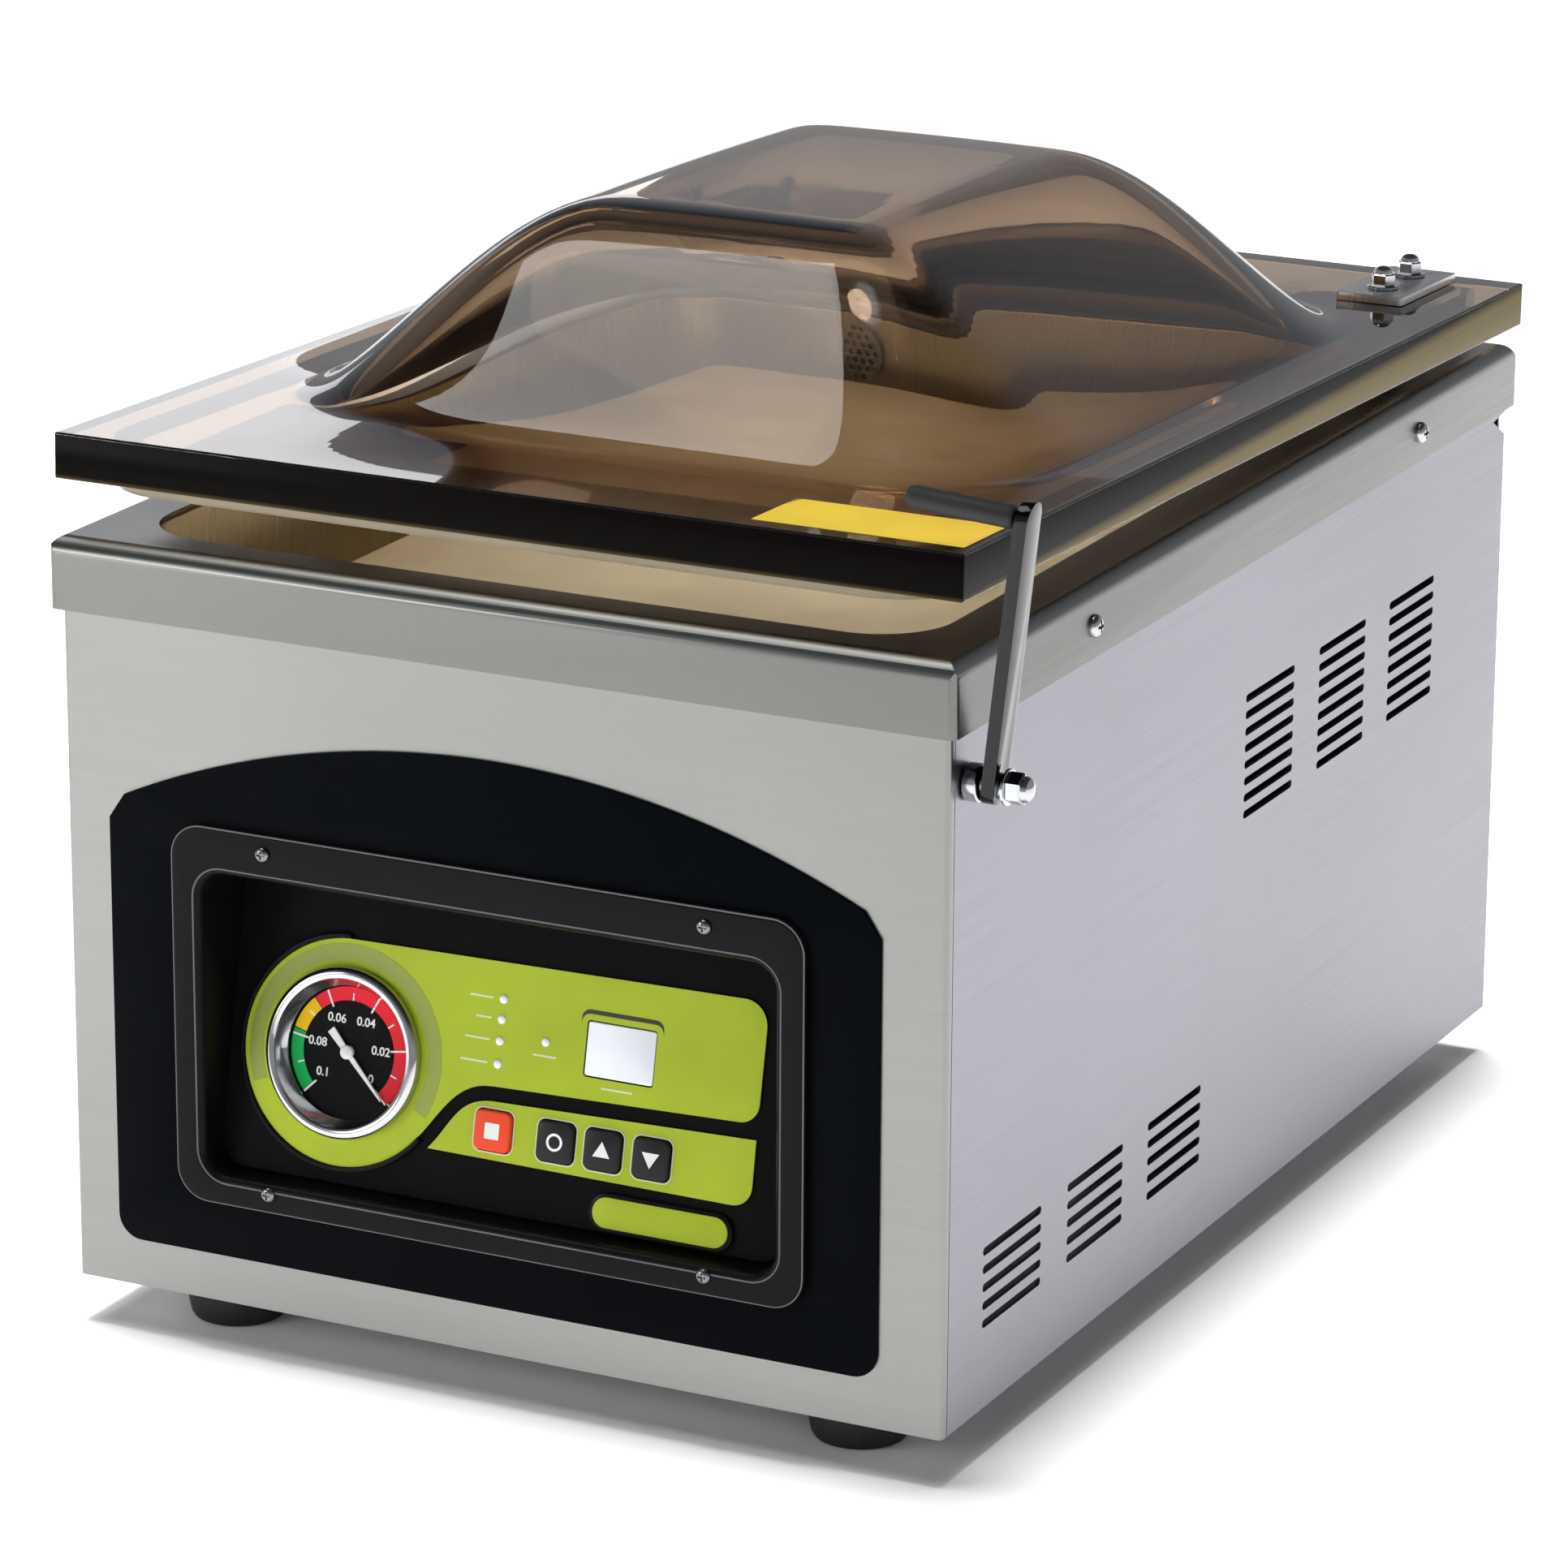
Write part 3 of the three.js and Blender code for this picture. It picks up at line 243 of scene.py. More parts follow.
def shift(bm, x, y, z=0.0):
    bmesh.ops.translate(bm, verts=bm.verts, vec=(x, y, z))
    return bm


def place_in(bm, matrix):
    bmesh.ops.transform(bm, verts=bm.verts, matrix=matrix)
    return bm


def soften(bm, width, steps=2, height=None, least=50):
    """Rounds the sharp edges, or only those at one height."""
    bm.normal_update()
    sharp = [e for e in bm.edges if len(e.link_faces) == 2 and e.calc_face_angle(0) > math.radians(least)
             and (height is None or all(abs(v.co.z - height) < 0.01 for v in e.verts))]
    bmesh.ops.bevel(bm, geom=sharp, offset=width, segments=steps, profile=0.5, affect="EDGES",
                    clamp_overlap=True)
    return bm


def lettering(text, size, x, y, z):
    curve = bpy.data.curves.new("numeral", "FONT")
    curve.body, curve.size, curve.align_x, curve.align_y = text, size, "CENTER", "CENTER"
    curve.extrude, curve.offset = 0.03, 0.07
    return shift(baked(link("numeral", curve)), x, y, z)


def add(name, bm, place, material, body="cabinet", stands_for=(), angle=35):
    """Makes a piece from a solid that is in millimetres in the frame called place."""
    mesh = bpy.data.meshes.new(name)
    place_in(bm, place).to_mesh(mesh)
    bm.free()
    for face in mesh.polygons:
        face.use_smooth = True
    mesh.set_sharp_from_angle(angle=math.radians(angle))
    mesh.materials.append(material)
    piece = link(name, mesh)
    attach(piece, body)
    if stands_for:
        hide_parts(*stands_for)
    return piece


# ---- materials ----
class Shader:
    """A Principled material with the few node patterns that the pieces share."""

    def __init__(self, name, colour, roughness, metallic=0.0, **sockets):
        self.material = bpy.data.materials.new(name)
        self.material.use_nodes = True
        self.nodes = self.material.node_tree.nodes
        self.links = self.material.node_tree.links
        self.bsdf = self.nodes["Principled BSDF"]
        self.set("Base Color", (*colour, 1))
        self.set("Roughness", roughness)
        self.set("Metallic", metallic)
        for socket, value in sockets.items():
            self.set(socket.replace("_", " "), value)

    def set(self, socket, value):
        self.bsdf.inputs[socket].default_value = value

    def noise(self, scale, stretch=(1, 1, 1), detail=4.0):
        coords = self.nodes.new("ShaderNodeTexCoord")
        mapping = self.nodes.new("ShaderNodeMapping")
        texture = self.nodes.new("ShaderNodeTexNoise")
        mapping.inputs["Scale"].default_value = stretch
        texture.inputs["Scale"].default_value = scale
        texture.inputs["Detail"].default_value = detail
        self.links.new(coords.outputs["Object"], mapping.inputs["Vector"])
        self.links.new(mapping.outputs["Vector"], texture.inputs["Vector"])
        return texture.outputs["Fac"]

    def spread(self, source, low, high):
        span = self.nodes.new("ShaderNodeMapRange")
        span.inputs["From Min"].default_value, span.inputs["From Max"].default_value = 0.3, 0.7
        span.inputs["To Min"].default_value, span.inputs["To Max"].default_value = low, high
        self.links.new(source, span.inputs["Value"])
        return span.outputs["Result"]

    def tint(self, source, dark, light):
        mix = self.nodes.new("ShaderNodeMix")
        mix.data_type = "RGBA"
        for socket in mix.inputs:
            if socket.type == "RGBA":
                socket.default_value = (*(dark if socket.name == "A" else light), 1)
        self.links.new(source, mix.inputs["Factor"])
        colour = next(o for o in mix.outputs if o.type == "RGBA")
        self.links.new(colour, self.bsdf.inputs["Base Color"])
        return self

    def rough(self, source, low, high):
        self.links.new(self.spread(source, low, high), self.bsdf.inputs["Roughness"])
        return self

    def bump(self, source, strength, depth):
        node = self.nodes.new("ShaderNodeBump")
        node.inputs["Strength"].default_value = strength
        node.inputs["Distance"].default_value = depth
        before = self.bsdf.inputs["Normal"].links
        if before:
            self.links.new(before[0].from_socket, node.inputs["Normal"])
        self.links.new(source, node.inputs["Height"])
        self.links.new(node.outputs["Normal"], self.bsdf.inputs["Normal"])
        return self


def shade(colour, amount):
    return tuple(min(1.0, c * amount) for c in colour)


def brushed(name, colour, stretch, roughness=0.34):
    """Steel with long fine brush lines and a faint cloudiness."""
    s = Shader(name, colour, roughness, metallic=1.0)
    grain = s.noise(1.0, stretch, 6.0)
    s.tint(s.spread(s.noise(5.0), 0, 1), shade(colour, 0.95), shade(colour, 1.04))
    s.rough(grain, roughness - 0.04, roughness + 0.05)
    return s.bump(grain, 0.12, 0.00004).material


def polished(name, colour=(0.78, 0.79, 0.8), roughness=0.12):
    s = Shader(name, colour, roughness, metallic=1.0)
    return s.rough(s.noise(90.0), roughness - 0.04, roughness + 0.06).material


def moulded(name, colour, roughness=0.45, grain=1400.0, depth=0.00005, shine=0.5, **sockets):
    """Plastic or rubber with a fine moulded grain and slightly uneven gloss."""
    s = Shader(name, colour, roughness, Specular_IOR_Level=shine, **sockets)
    s.tint(s.spread(s.noise(25.0), 0, 1), shade(colour, 0.9), shade(colour, 1.08))
    s.rough(s.noise(60.0), roughness - 0.06, roughness + 0.06)
    return s.bump(s.noise(grain, detail=2.0), 0.3, depth).material


def acrylic():
    """Smoked clear acrylic: the tint comes from absorption, so edges and long paths turn dark brown."""
    s = Shader("smoked_acrylic", (1, 1, 1), 0.02, IOR=1.49, Transmission_Weight=1.0)
    s.rough(s.noise(14.0), 0.0, 0.03)
    s.bump(s.noise(18.0, detail=1.0), 0.05, 0.0006)
    smoke = s.nodes.new("ShaderNodeVolumeAbsorption")
    smoke.inputs["Color"].default_value = (0.64, 0.53, 0.40, 1)
    smoke.inputs["Density"].default_value = 190.0
    s.links.new(smoke.outputs["Volume"], s.nodes["Material Output"].inputs["Volume"])
    return s.material


def acrylic_edge_painted_glow():
    """The polished edge of the lid: black above, and below a painted amber glow that stands for light seen
    through the acrylic and widens towards the rear.
    """
    # The amber colour is painted light seen through the edge.
    black, painted_glow = (0.003, 0.002, 0.0016), (0.17, 0.125, 0.05)
    s = Shader("acrylic_edge_painted_glow", black, 0.25, Specular_IOR_Level=0.03)
    kinds = ("TexCoord", "SeparateXYZ", "MapRange")
    coords, parts, band = (s.nodes.new(f"ShaderNode{kind}") for kind in kinds)
    underside, thick = (LID_FRAME @ Vector((0, 0, 0))).z, LID["thick"] * MM
    # The band marks where the painted glow goes: full below 0.3 of the thickness, none above 0.55.
    band.inputs["From Min"].default_value = underside + 0.3 * thick
    band.inputs["From Max"].default_value = underside + 0.55 * thick
    band.inputs["To Min"].default_value, band.inputs["To Max"].default_value = 1.0, 0.0
    s.links.new(coords.outputs["Object"], parts.inputs["Vector"])
    s.links.new(parts.outputs["Z"], band.inputs["Value"])
    s.tint(band.outputs["Result"], black, painted_glow)
    return s.rough(s.noise(1.0, (5, 5, 260), 3.0), 0.18, 0.3).material


def clear_glass():
    s = Shader("gauge_glass", (0.02, 0.02, 0.02), 0.02, Alpha=0.04, Specular_IOR_Level=0.05)
    return s.rough(s.noise(40.0), 0.0, 0.03).material


STEEL = (0.25, 0.255, 0.243)
M = {
    "front_steel": brushed("front_steel", STEEL, (6, 6, 1500)),
    # The side sheets are the same steel tinted lavender: a painted reflection of bluish surroundings.
    "side_steel_painted_tint": brushed("side_steel_painted_tint", (0.252, 0.248, 0.276), (6, 6, 1500)),
    # The rim is the cabinet steel at about two thirds brightness: painted shade.
    "rim_steel_painted_shade": brushed("rim_steel_painted_shade", (0.17, 0.172, 0.162), (8, 8, 1500), 0.3),
    "tub_steel": brushed("tub_steel", (0.66, 0.62, 0.52), (1500, 1500, 6), 0.3),
    "plain_steel": brushed("plain_steel", (0.58, 0.58, 0.57), (900, 20, 20), 0.3),
    "chrome": polished("chrome", (0.5, 0.51, 0.52)),
    # The lever's chrome darkened to a few percent: painted dark reflection.
    "chrome_painted_dark": polished("chrome_painted_dark", (0.03, 0.03, 0.032)),
    "edge": acrylic_edge_painted_glow(),
    "screw": polished("screw_steel", (0.2, 0.2, 0.205), 0.25),
    "alloy": polished("cast_alloy", (0.52, 0.53, 0.54), 0.42),
    "trim": moulded("trim_black", (0.0016, 0.0024, 0.0034), 0.45, 2200.0, 0.00002, shine=0.02),
    "frame": moulded("frame_black", (0.004, 0.0042, 0.0045), 0.34, shine=0.08),
    # A pale grey that paints highlight lines along the frame's edges.
    "bead": moulded("frame_edge_painted_highlight", (0.09, 0.092, 0.095), 0.3),
    "face": moulded("face_black", (0.005, 0.005, 0.0053), 0.5, shine=0.03),
    "film": moulded("green_film", (0.39, 0.485, 0.028), 0.45, 3000.0, 0.00001, shine=0.15),
    "olive": moulded("olive_print", (0.26, 0.325, 0.035), 0.45, 3000.0, 0.00001),
    "print_dark": moulded("dark_print", (0.01, 0.012, 0.008), 0.5, 3000.0, 0.00001),
    "pale_print": moulded("pale_print", (0.62, 0.68, 0.42), 0.5, 3000.0, 0.00001),
    "white_print": moulded("white_print", (0.85, 0.85, 0.84), 0.5, 3000.0, 0.00001),
    "red_key": moulded("red_key", (0.85, 0.07, 0.02), 0.4, 2600.0, 0.00002, shine=0.2),
    "black_key": moulded("black_key", (0.007, 0.0075, 0.008), 0.36, 2600.0, 0.00002, shine=0.25),
    "pane": moulded("display_pane", (0.86, 0.88, 0.93), 0.35, 3000.0, 0.00001),
    "dial_black": moulded("dial_black", (0.003, 0.003, 0.0034), 0.6, 2600.0, 0.00001, shine=0.08),
    "dial_red": moulded("dial_red", (0.80, 0.025, 0.04), 0.5, 3000.0, 0.00001, shine=0.1),
    "dial_yellow": moulded("dial_yellow", (0.88, 0.55, 0.01), 0.5, 3000.0, 0.00001, shine=0.1),
    "dial_green": moulded("dial_green", (0.008, 0.42, 0.09), 0.5, 3000.0, 0.00001, shine=0.1),
    "acrylic": acrylic(),
    "glass": clear_glass(),
    "silicone": moulded("gasket_silicone", (0.28, 0.24, 0.16), 0.5, 900.0, 0.00005, Subsurface_Weight=0.15,
                        Subsurface_Scale=0.004),
    "board": moulded("filler_board", (0.64, 0.60, 0.46), 0.5, 500.0, 0.00005),
    "rubber": moulded("black_rubber", (0.008, 0.008, 0.008), 0.6, 1100.0, 0.0001),
    "tape": moulded("seal_tape", (0.36, 0.22, 0.10), 0.5, 700.0, 0.00008),
    "sticker": moulded("sticker_yellow", (0.42, 0.30, 0.022), 0.42, 2600.0, 0.00001),
    "amber": moulded("sticker_amber", (0.43, 0.29, 0.02), 0.42, 2600.0, 0.00001),
    "motor": moulded("motor_paint", (0.05, 0.07, 0.09), 0.45, 500.0, 0.0001),
    "core": moulded("transformer_core", (0.35, 0.16, 0.06), 0.5, 300.0, 0.0003),
    "pcb": moulded("circuit_board", (0.02, 0.16, 0.05), 0.4, 900.0, 0.00005),
    "hose": moulded("hose_pvc", (0.55, 0.58, 0.58), 0.35, 300.0, 0.0002),
    "inlet": moulded("inlet_black", (0.01, 0.01, 0.011), 0.5),
}


# ---- cabinet ----
def rolled_block(inset):
    """The rim's outer shape: side rolls, a small front roll, a large rear roll and rounded plan corners."""
    roll, rear = max(RIM["roll"] - inset, 1), RIM["rear_roll"] - inset
    half_w, half_d, top = RIM["half_w"] - inset, RIM["half_d"] - inset, RIM["top"] - inset
    low = RIM["top"] - RIM["skirt"] - (5 if inset else 0)
    across = [(-half_w, low), (half_w, low)] + arc(half_w - roll, top - roll, roll, 0, 90, 12) \
        + arc(roll - half_w, top - roll, roll, 90, 180, 12)
    along = [(-half_d, low), (half_d, low)] + arc(half_d - rear, top - rear, rear, 0, 90, 20) \
        + arc(roll - half_d, top - roll, roll, 90, 180, 12)
    length = RIM["half_d"] + 20
    crossways = place_in(prism(across, -length, length), turn(90, "X"))
    lengthways = place_in(prism(along, -length, length), SIDEWAYS)
    body = combine(crossways, lengthways, "INTERSECT")
    corner = max(RIM["corner"] - inset, 0.8)
    plan = prism(rounded(-half_w, half_w, -half_d, half_d, corner, 6), low - 10, top + 10)
    return combine(body, plan, "INTERSECT")


def chamber_ring(grow, z, steps=12):
    half = CHAMBER["half_w"] + grow
    front, rear = CHAMBER["front"] - grow, CHAMBER["rear"] + grow
    return [(x, y, z) for x, y in rounded(-half, half, front, rear, CHAMBER["corner"] + grow, steps)]


def deck_rim():
    shell = combine(rolled_block(0), rolled_block(SHEET))
    opening = loft([chamber_ring(0, RIM["top"] - 40), chamber_ring(0, RIM["top"] + 10)])
    add("rolled_rim", combine(shell, opening), CABINET, M["rim_steel_painted_shade"], stands_for=["deck_rim"],
        angle=22)


def chamber_tub():
    fillet, floor, top = CHAMBER["fillet"], CHAMBER["floor"], RIM["top"] - SHEET - GAP
    bends = [math.radians(90 * i / 6) for i in range(7)]
    inner = [(-fillet * (1 - math.cos(a)), floor + fillet * (1 - math.sin(a))) for a in bends]
    outer = [(SHEET + g, z - SHEET) for g, z in reversed(inner)]
    profile = outer + [(SHEET, top - SHEET), (9, top - SHEET), (9, top), (0.8, top), (0, top - 0.8)] + inner
    add("chamber_pressing", loft([chamber_ring(grow, z) for grow, z in profile]), CABINET, M["tub_steel"],
        stands_for=["chamber_tub"])


def slots(rows, pitch, first_x, first_y, length, columns=3, step=68.7, height=3.0):
    """Rows of round-ended vent slots, as outlines."""
    return [centred(first_x + step * i, first_y - pitch * j, length, height, height / 2 - 0.01, 4)
            for i in range(columns) for j in range(rows)]


def side_panels():
    front, rear = -BODY["half_d"] + 4.4, BODY["half_d"]
    edge = [(front, BODY["bottom"]), (rear, BODY["bottom"]), (rear, 251.0), (238.5, 258.0), (rear, 259.8),
            (rear, BODY["top"]), (front, BODY["top"])]
    vents = slots(rows=8, pitch=6.2, first_x=20.5, first_y=210.3, length=45)
    vents += slots(rows=5, pitch=6.5, first_x=-196.0, first_y=74.0, length=47)
    for side, sign in (("right", 1), ("left", -1)):
        x = sign * BODY["half_w"] - (SHEET if sign > 0 else 0)
        sheet = soften(plate([edge] + vents, 0, SHEET), 0.25, 1)
        add(f"{side}_side_sheet", sheet, CABINET @ at(x, 0, 0) @ SIDEWAYS, M["side_steel_painted_tint"],
            stands_for=[f"{side}_side_panel"], angle=25)


def recess_outline(grow, corner, steps, x=0.0):
    half = RECESS["half_w"] + grow
    return rounded(x - half, x + half, RECESS["low"] - grow, RECESS["top"] + grow, corner, steps)


def front_panel():
    w, d, lip, bend = BODY["half_w"], BODY["half_d"], 4.0, 2.0
    outer = [(-w, lip - d)] + arc(bend - w, bend - d, bend, 180, 270, 6) \
        + arc(w - bend, bend - d, bend, 270, 360, 6) + [(w, lip - d)]
    inner_bend = bend - SHEET
    inner = [(w - SHEET, lip - d)] + arc(w - bend, bend - d, inner_bend, 360, 270, 6) \
        + arc(bend - w, bend - d, inner_bend, 270, 180, 6) + [(SHEET - w, lip - d)]
    sheet = prism(outer + inner, BODY["bottom"], BODY["top"])
    window = prism(recess_outline(SHEET + 2 * GAP, RECESS["corner"], 6, PANEL_X), -10, 10)
    place_in(window, at(0, -d, 0) @ turn(90, "X"))
    add("front_sheet", combine(sheet, window), CABINET, M["front_steel"], stands_for=["front_panel"],
        angle=25)


def rear_panel():
    half, port_z = BODY["half_w"] - SHEET - GAP, 62
    edge = rounded(-half, half, BODY["bottom"], BODY["top"], 1.5, 3)
    vents = [centred(x, 121.5 + 8 * row, 48, 3, 1.49, 4) for x in (-70, 0) for row in range(6)]
    inlet, switch = centred(92, port_z, 29.6, 21.6, 1.5, 3), centred(62, port_z, 18.6, 26.6, 1.5, 3)
    sheet = soften(plate([edge] + vents + [inlet, switch], 0, SHEET), 0.25, 1)
    place = CABINET @ at(0, BODY["half_d"] - 0.8, 0) @ turn(90, "X")
    add("rear_sheet", sheet, place, M["front_steel"], stands_for=["rear_panel"],
        angle=25)


def screw_head(radius, height, recess):
    """A pan head with a cross recess."""
    steps = ((1, 0), (1, 0.25), (0.92, 0.55), (0.7, 0.82), (0.4, 0.96), (0.05, 1))
    dome = [(radius * out, height * up) for out, up in steps]
    cross = combine(block(-recess, recess, -recess / 4, recess / 4, height * 0.45, height + 1),
                    block(-recess / 4, recess / 4, -recess, recess, height * 0.45, height + 1), "UNION")
    return combine(lathe(dome, 28), cross)


def rim_screws():
    for sign, side in ((1, "right"), (-1, "left")):
        height = 2.9 if sign > 0 else 2.2
        for end in ("front", "rear"):
            seat = CABINET @ at(sign * (RIM["half_w"] + 0.05), RIM_SCREW[end], RIM_SCREW["z"])
            stands_for = [f"rim_screw_{end}"] if sign > 0 else []
            add(f"{side}_rim_screw_{end}", screw_head(4, height, 2.2), seat @ turn(90 * sign, "Y"),
                M["chrome"], stands_for=stands_for)


def feet():
    profile = [(14, 0), (16, 0.4), (17, 2), (17.6, 5), (19, 13), (19, 15.4), (18.4, 16.6), (15, 17.2)]
    for end, y in (("front", -FOOT["y"]), ("rear", FOOT["y"])):
        for side, x in (("left", -FOOT["x"]), ("right", FOOT["x"])):
            add(f"rubber_foot_{end}_{side}", lathe(profile), CABINET @ at(x, y, 0), M["rubber"],
                stands_for=[f"foot_{end}_{side}"])


# ---- control panel ----
def trim_plate():
    """A thin plate with straight sides and an arched top."""
    half, low, side, apex, corner, ease = TRIM.values()
    radius = (half ** 2 + (apex - side) ** 2) / (2 * (apex - side))
    sweep = math.degrees(math.asin((half - ease) / radius))
    edge = (arc(half - corner, low + corner, corner, -90, 0) + [(half, side - ease)]
            + arc(0, apex - radius, radius, 90 - sweep, 90 + sweep, 48) + [(-half, side - ease)]
            + arc(corner - half, low + corner, corner, 180, 270))
    window = recess_outline(SHEET + 2 * GAP, RECESS["corner"], 8)
    add("front_trim", soften(plate([edge, window], 0, 1), 0.3, 2, height=1),
        upright(PANEL_X, -BODY["half_d"] - GAP, 0), M["trim"], stands_for=["front_trim_plate"])


def flange(grow, z):
    half = FLANGE["half_w"] + grow
    outline = rounded(-half, half, FLANGE["low"] - grow, FLANGE["top"] + grow, FLANGE["corner"] + grow, 10)
    return [(x, y, z) for x, y in outline]


def well(grow, z):
    return [(x, y, z) for x, y in recess_outline(grow, max(RECESS["corner"] + grow, 0.5), 10)]


def panel_frame():
    """A flange with a rounded edge that rolls over into the deep recess."""
    front, bottom = FLANGE["proud"], -RECESS["depth"]
    turns = [math.radians(90 * i / 5) for i in range(6)]
    edge, roll = 1.2, 3.2
    rings = [well(SHEET, bottom), well(SHEET, front - 3), flange(0, front - 3)]
    rings += [flange(edge * (math.cos(a) - 1), front - edge * (1 - math.sin(a))) for a in turns]
    rings += [well(roll * (1 - math.sin(a)), front - roll * (1 - math.cos(a))) for a in turns]
    rings += [well(0, bottom)]
    add("recessed_frame", loft(rings, closed=True), upright(PANEL_X, -BODY["half_d"], 0), M["frame"],
        stands_for=["panel_frame"])


def frame_painted_highlights():
    """Pale grey lines along the frame's two edges: painted highlights."""
    place, radius = upright(PANEL_X, -BODY["half_d"], 0), 0.35
    turns = [math.radians(60 * i) for i in range(6)]
    bead = [(radius * math.cos(a), FLANGE["proud"] - 0.55 + radius * math.sin(a)) for a in turns]
    add("frame_outer_painted_highlight", loft([flange(g - 0.28, z) for g, z in bead], closed=True), place, M["bead"])
    add("frame_inner_painted_highlight", loft([well(g + 2.6, z + 0.42) for g, z in bead], closed=True), place, M["bead"])


def panel_screws():
    for row in ("upper", "lower"):
        for side, x in (("left", -PANEL_SCREW["x"]), ("right", PANEL_SCREW["x"])):
            place = upright(PANEL_X + x, -BODY["half_d"] - FLANGE["proud"] - 0.1, PANEL_SCREW[row])
            add(f"{row}_{side}_panel_screw", screw_head(2.7, 1.7, 1.5), place, M["screw"],
                stands_for=[f"panel_screw_{row}_{side}"])


def key_outline(name, grow, corner=2.4):
    return centred(KEYS[name], KEY["w"], KEY["size"] + 2 * grow, KEY["size"] + 2 * grow, corner + grow)


def display_outline(grow):
    width, height = DISPLAY["width"] + 2 * grow, DISPLAY["height"] + 2 * grow
    return centred(DISPLAY["x"], DISPLAY["w"], width, height, 0.8 + grow, 3)


def control_face():
    gauge_hole = circle(27.3, 48, GAUGE["x"], GAUGE["w"])
    holes = [gauge_hole, display_outline(GAP)] + [key_outline(k, GAP) for k in KEYS]
    half = RECESS["half_w"] - GAP
    outline = rounded(-half, half, FACE["low"], FACE["top"], FACE["corner"])
    sheet = plate([outline] + holes, -3, 0)
    add("control_face_sheet", sheet, FACE_FRAME, M["face"], stands_for=["control_face"])
    ring = soften(prism(sector(39.9, 41.6, 92, 322, 64), 0.1, 1.9), 0.5, 2, height=1.9)
    add("gauge_surround", ring, GAUGE_FRAME, M["frame"])


def film(outline, holes):
    """One field of the green print, with its holes."""
    return plate([outline] + holes, FILM["low"], FILM["top"])


def films():
    """The green print: a disc and upper field, and a lower field, parted by a black sweep."""
    x, w = GAUGE["x"], GAUGE["w"]
    sweep = bezier((-33.5, 27.8), (-24.8, 38.3), (-20.0, 50.2), (-6.0, 50.6))
    disc = [(x, w + 39.7)] + arc(x, w, 39.7, 90, 320, 60)
    upper = sweep + [(88.5, 53.2)] + arc(88.5, 60.2, 7, -90, 0) + arc(86.5, 86.0, 9, 0, 88) + disc
    holes = [display_outline(0.5), circle(28.5, 48, x, w)]
    add("film_upper", film(upper, holes), FACE_FRAME, M["film"], stands_for=["face_overlay"])
    sweep = bezier((-28.6, 25.6), (-20.5, 34.5), (-19.0, 44.8), (-5.5, 45.4))
    lower = sweep + [(95.5, 48.0)] + arc(88.7, 31.8, 7, 0, -90) + [(-28.6, 25.4)]
    holes = [key_outline(k, 0.5) for k in KEYS]
    add("film_lower", film(lower, holes), FACE_FRAME, M["film"])


def film_prints():
    """The olive ring round the gauge and the dark arch over the display."""
    ring = prism(sector(32.6, 38.0, 204, -28, 64), FILM["top"], PRINT_TOP)
    add("film_ring_print", ring, GAUGE_FRAME, M["olive"])
    half, w, bend = 12.5, 79.4, 3.2
    arch = arc(DISPLAY["x"] - half, w, bend, 180, 90, 6) + arc(DISPLAY["x"] + half, w, bend, 90, 0, 6)
    inside = [(x, y - 1.5) for x, y in reversed(arch)]
    add("display_arch_print", prism(arch + inside, FILM["top"], PRINT_TOP), FACE_FRAME, M["print_dark"])


def display():
    pane = soften(prism(display_outline(0), -1.8, 0.8), 0.3, 2, height=0.8)
    add("display_pane_sheet", pane, FACE_FRAME, M["pane"], stands_for=["display_window"])


def lamps():
    """Five small lamps, with generic bars where the photo has words."""
    column = [(-4.6, w) for w in (81.0, 74.0, 66.5, 58.5)]
    dots = [shift(lathe([(1.5, 0.85), (1.5, 1.15), (1.1, 1.5), (0.5, 1.65)], 20), x, w)
            for x, w in column + [(13.0, 68.8)]]
    add("indicator_lamps", merge(*dots), FACE_FRAME, M["pane"])
    low, top, half = 0.88, 0.96, 0.35
    bars = [block(x - 4 - length, x - 4, w - half, w + half, low, top)
            for (x, w), length in zip(column, (9, 6, 9.5, 10.5))]
    bars.append(block(8.5, 17.5, 63.6, 63.6 + 2 * half, low, top))
    bars.append(block(DISPLAY["x"] - 6, DISPLAY["x"] + 6, 56.0, 56.0 + 2 * half, low, top))
    add("lamp_marks", merge(*bars), FACE_FRAME, M["pale_print"])


def badge():
    """A plain pill on a black pad."""
    x, w = BADGE["x"], BADGE["w"]
    pad = soften(prism(centred(x, w, 55, 13.4, 6.6, 10), 0.05, 1.6), 0.5, 2, height=1.6)
    add("badge_pad", pad, FACE_FRAME, M["frame"])
    pill = soften(prism(centred(x, w, 51.5, 10.6, 5.2, 10), 1.65, 2.1), 0.2, 2, height=2.1)
    add("badge_pill", pill, FACE_FRAME, M["film"])


def key_icon(name):
    low, top = KEY["top"] - 0.1, KEY["top"] + 0.05
    if name == "stop_button":
        return prism(centred(0, 0, 5.6, 5.6, 0.5, 3), low, top)
    if name == "set_button":
        return plate([circle(3.1, 32), circle(2.2, 32)], low, top)
    tip = 3.2 if name == "up_button" else -3.2
    triangle = [(-3.3, -tip * 0.7), (3.3, -tip * 0.7), (0, tip)]
    return prism(triangle if tip > 0 else triangle[::-1], low, top)


def keys():
    size, top = KEY["size"], KEY["top"]
    for name, x in KEYS.items():
        place = FACE_FRAME @ at(x, KEY["w"], 0)
        look, slot = ("red_key", "red_button") if name == "stop_button" else ("black_key", "dark_button")
        cap = soften(prism(centred(0, 0, size, size, 2.4), -3.5, top), 0.7, 3, height=top)
        add(f"{name}_cap", cap, place, M[look], body=name, stands_for=[name])
        add(f"{name}_icon", key_icon(name), place, M["white_print"], body=name)
        line = plate([key_outline(name, 1.0), key_outline(name, 0.45)], 0.88, PRINT_TOP)
        add(f"{name}_outline", line, FACE_FRAME, M["pale_print"])


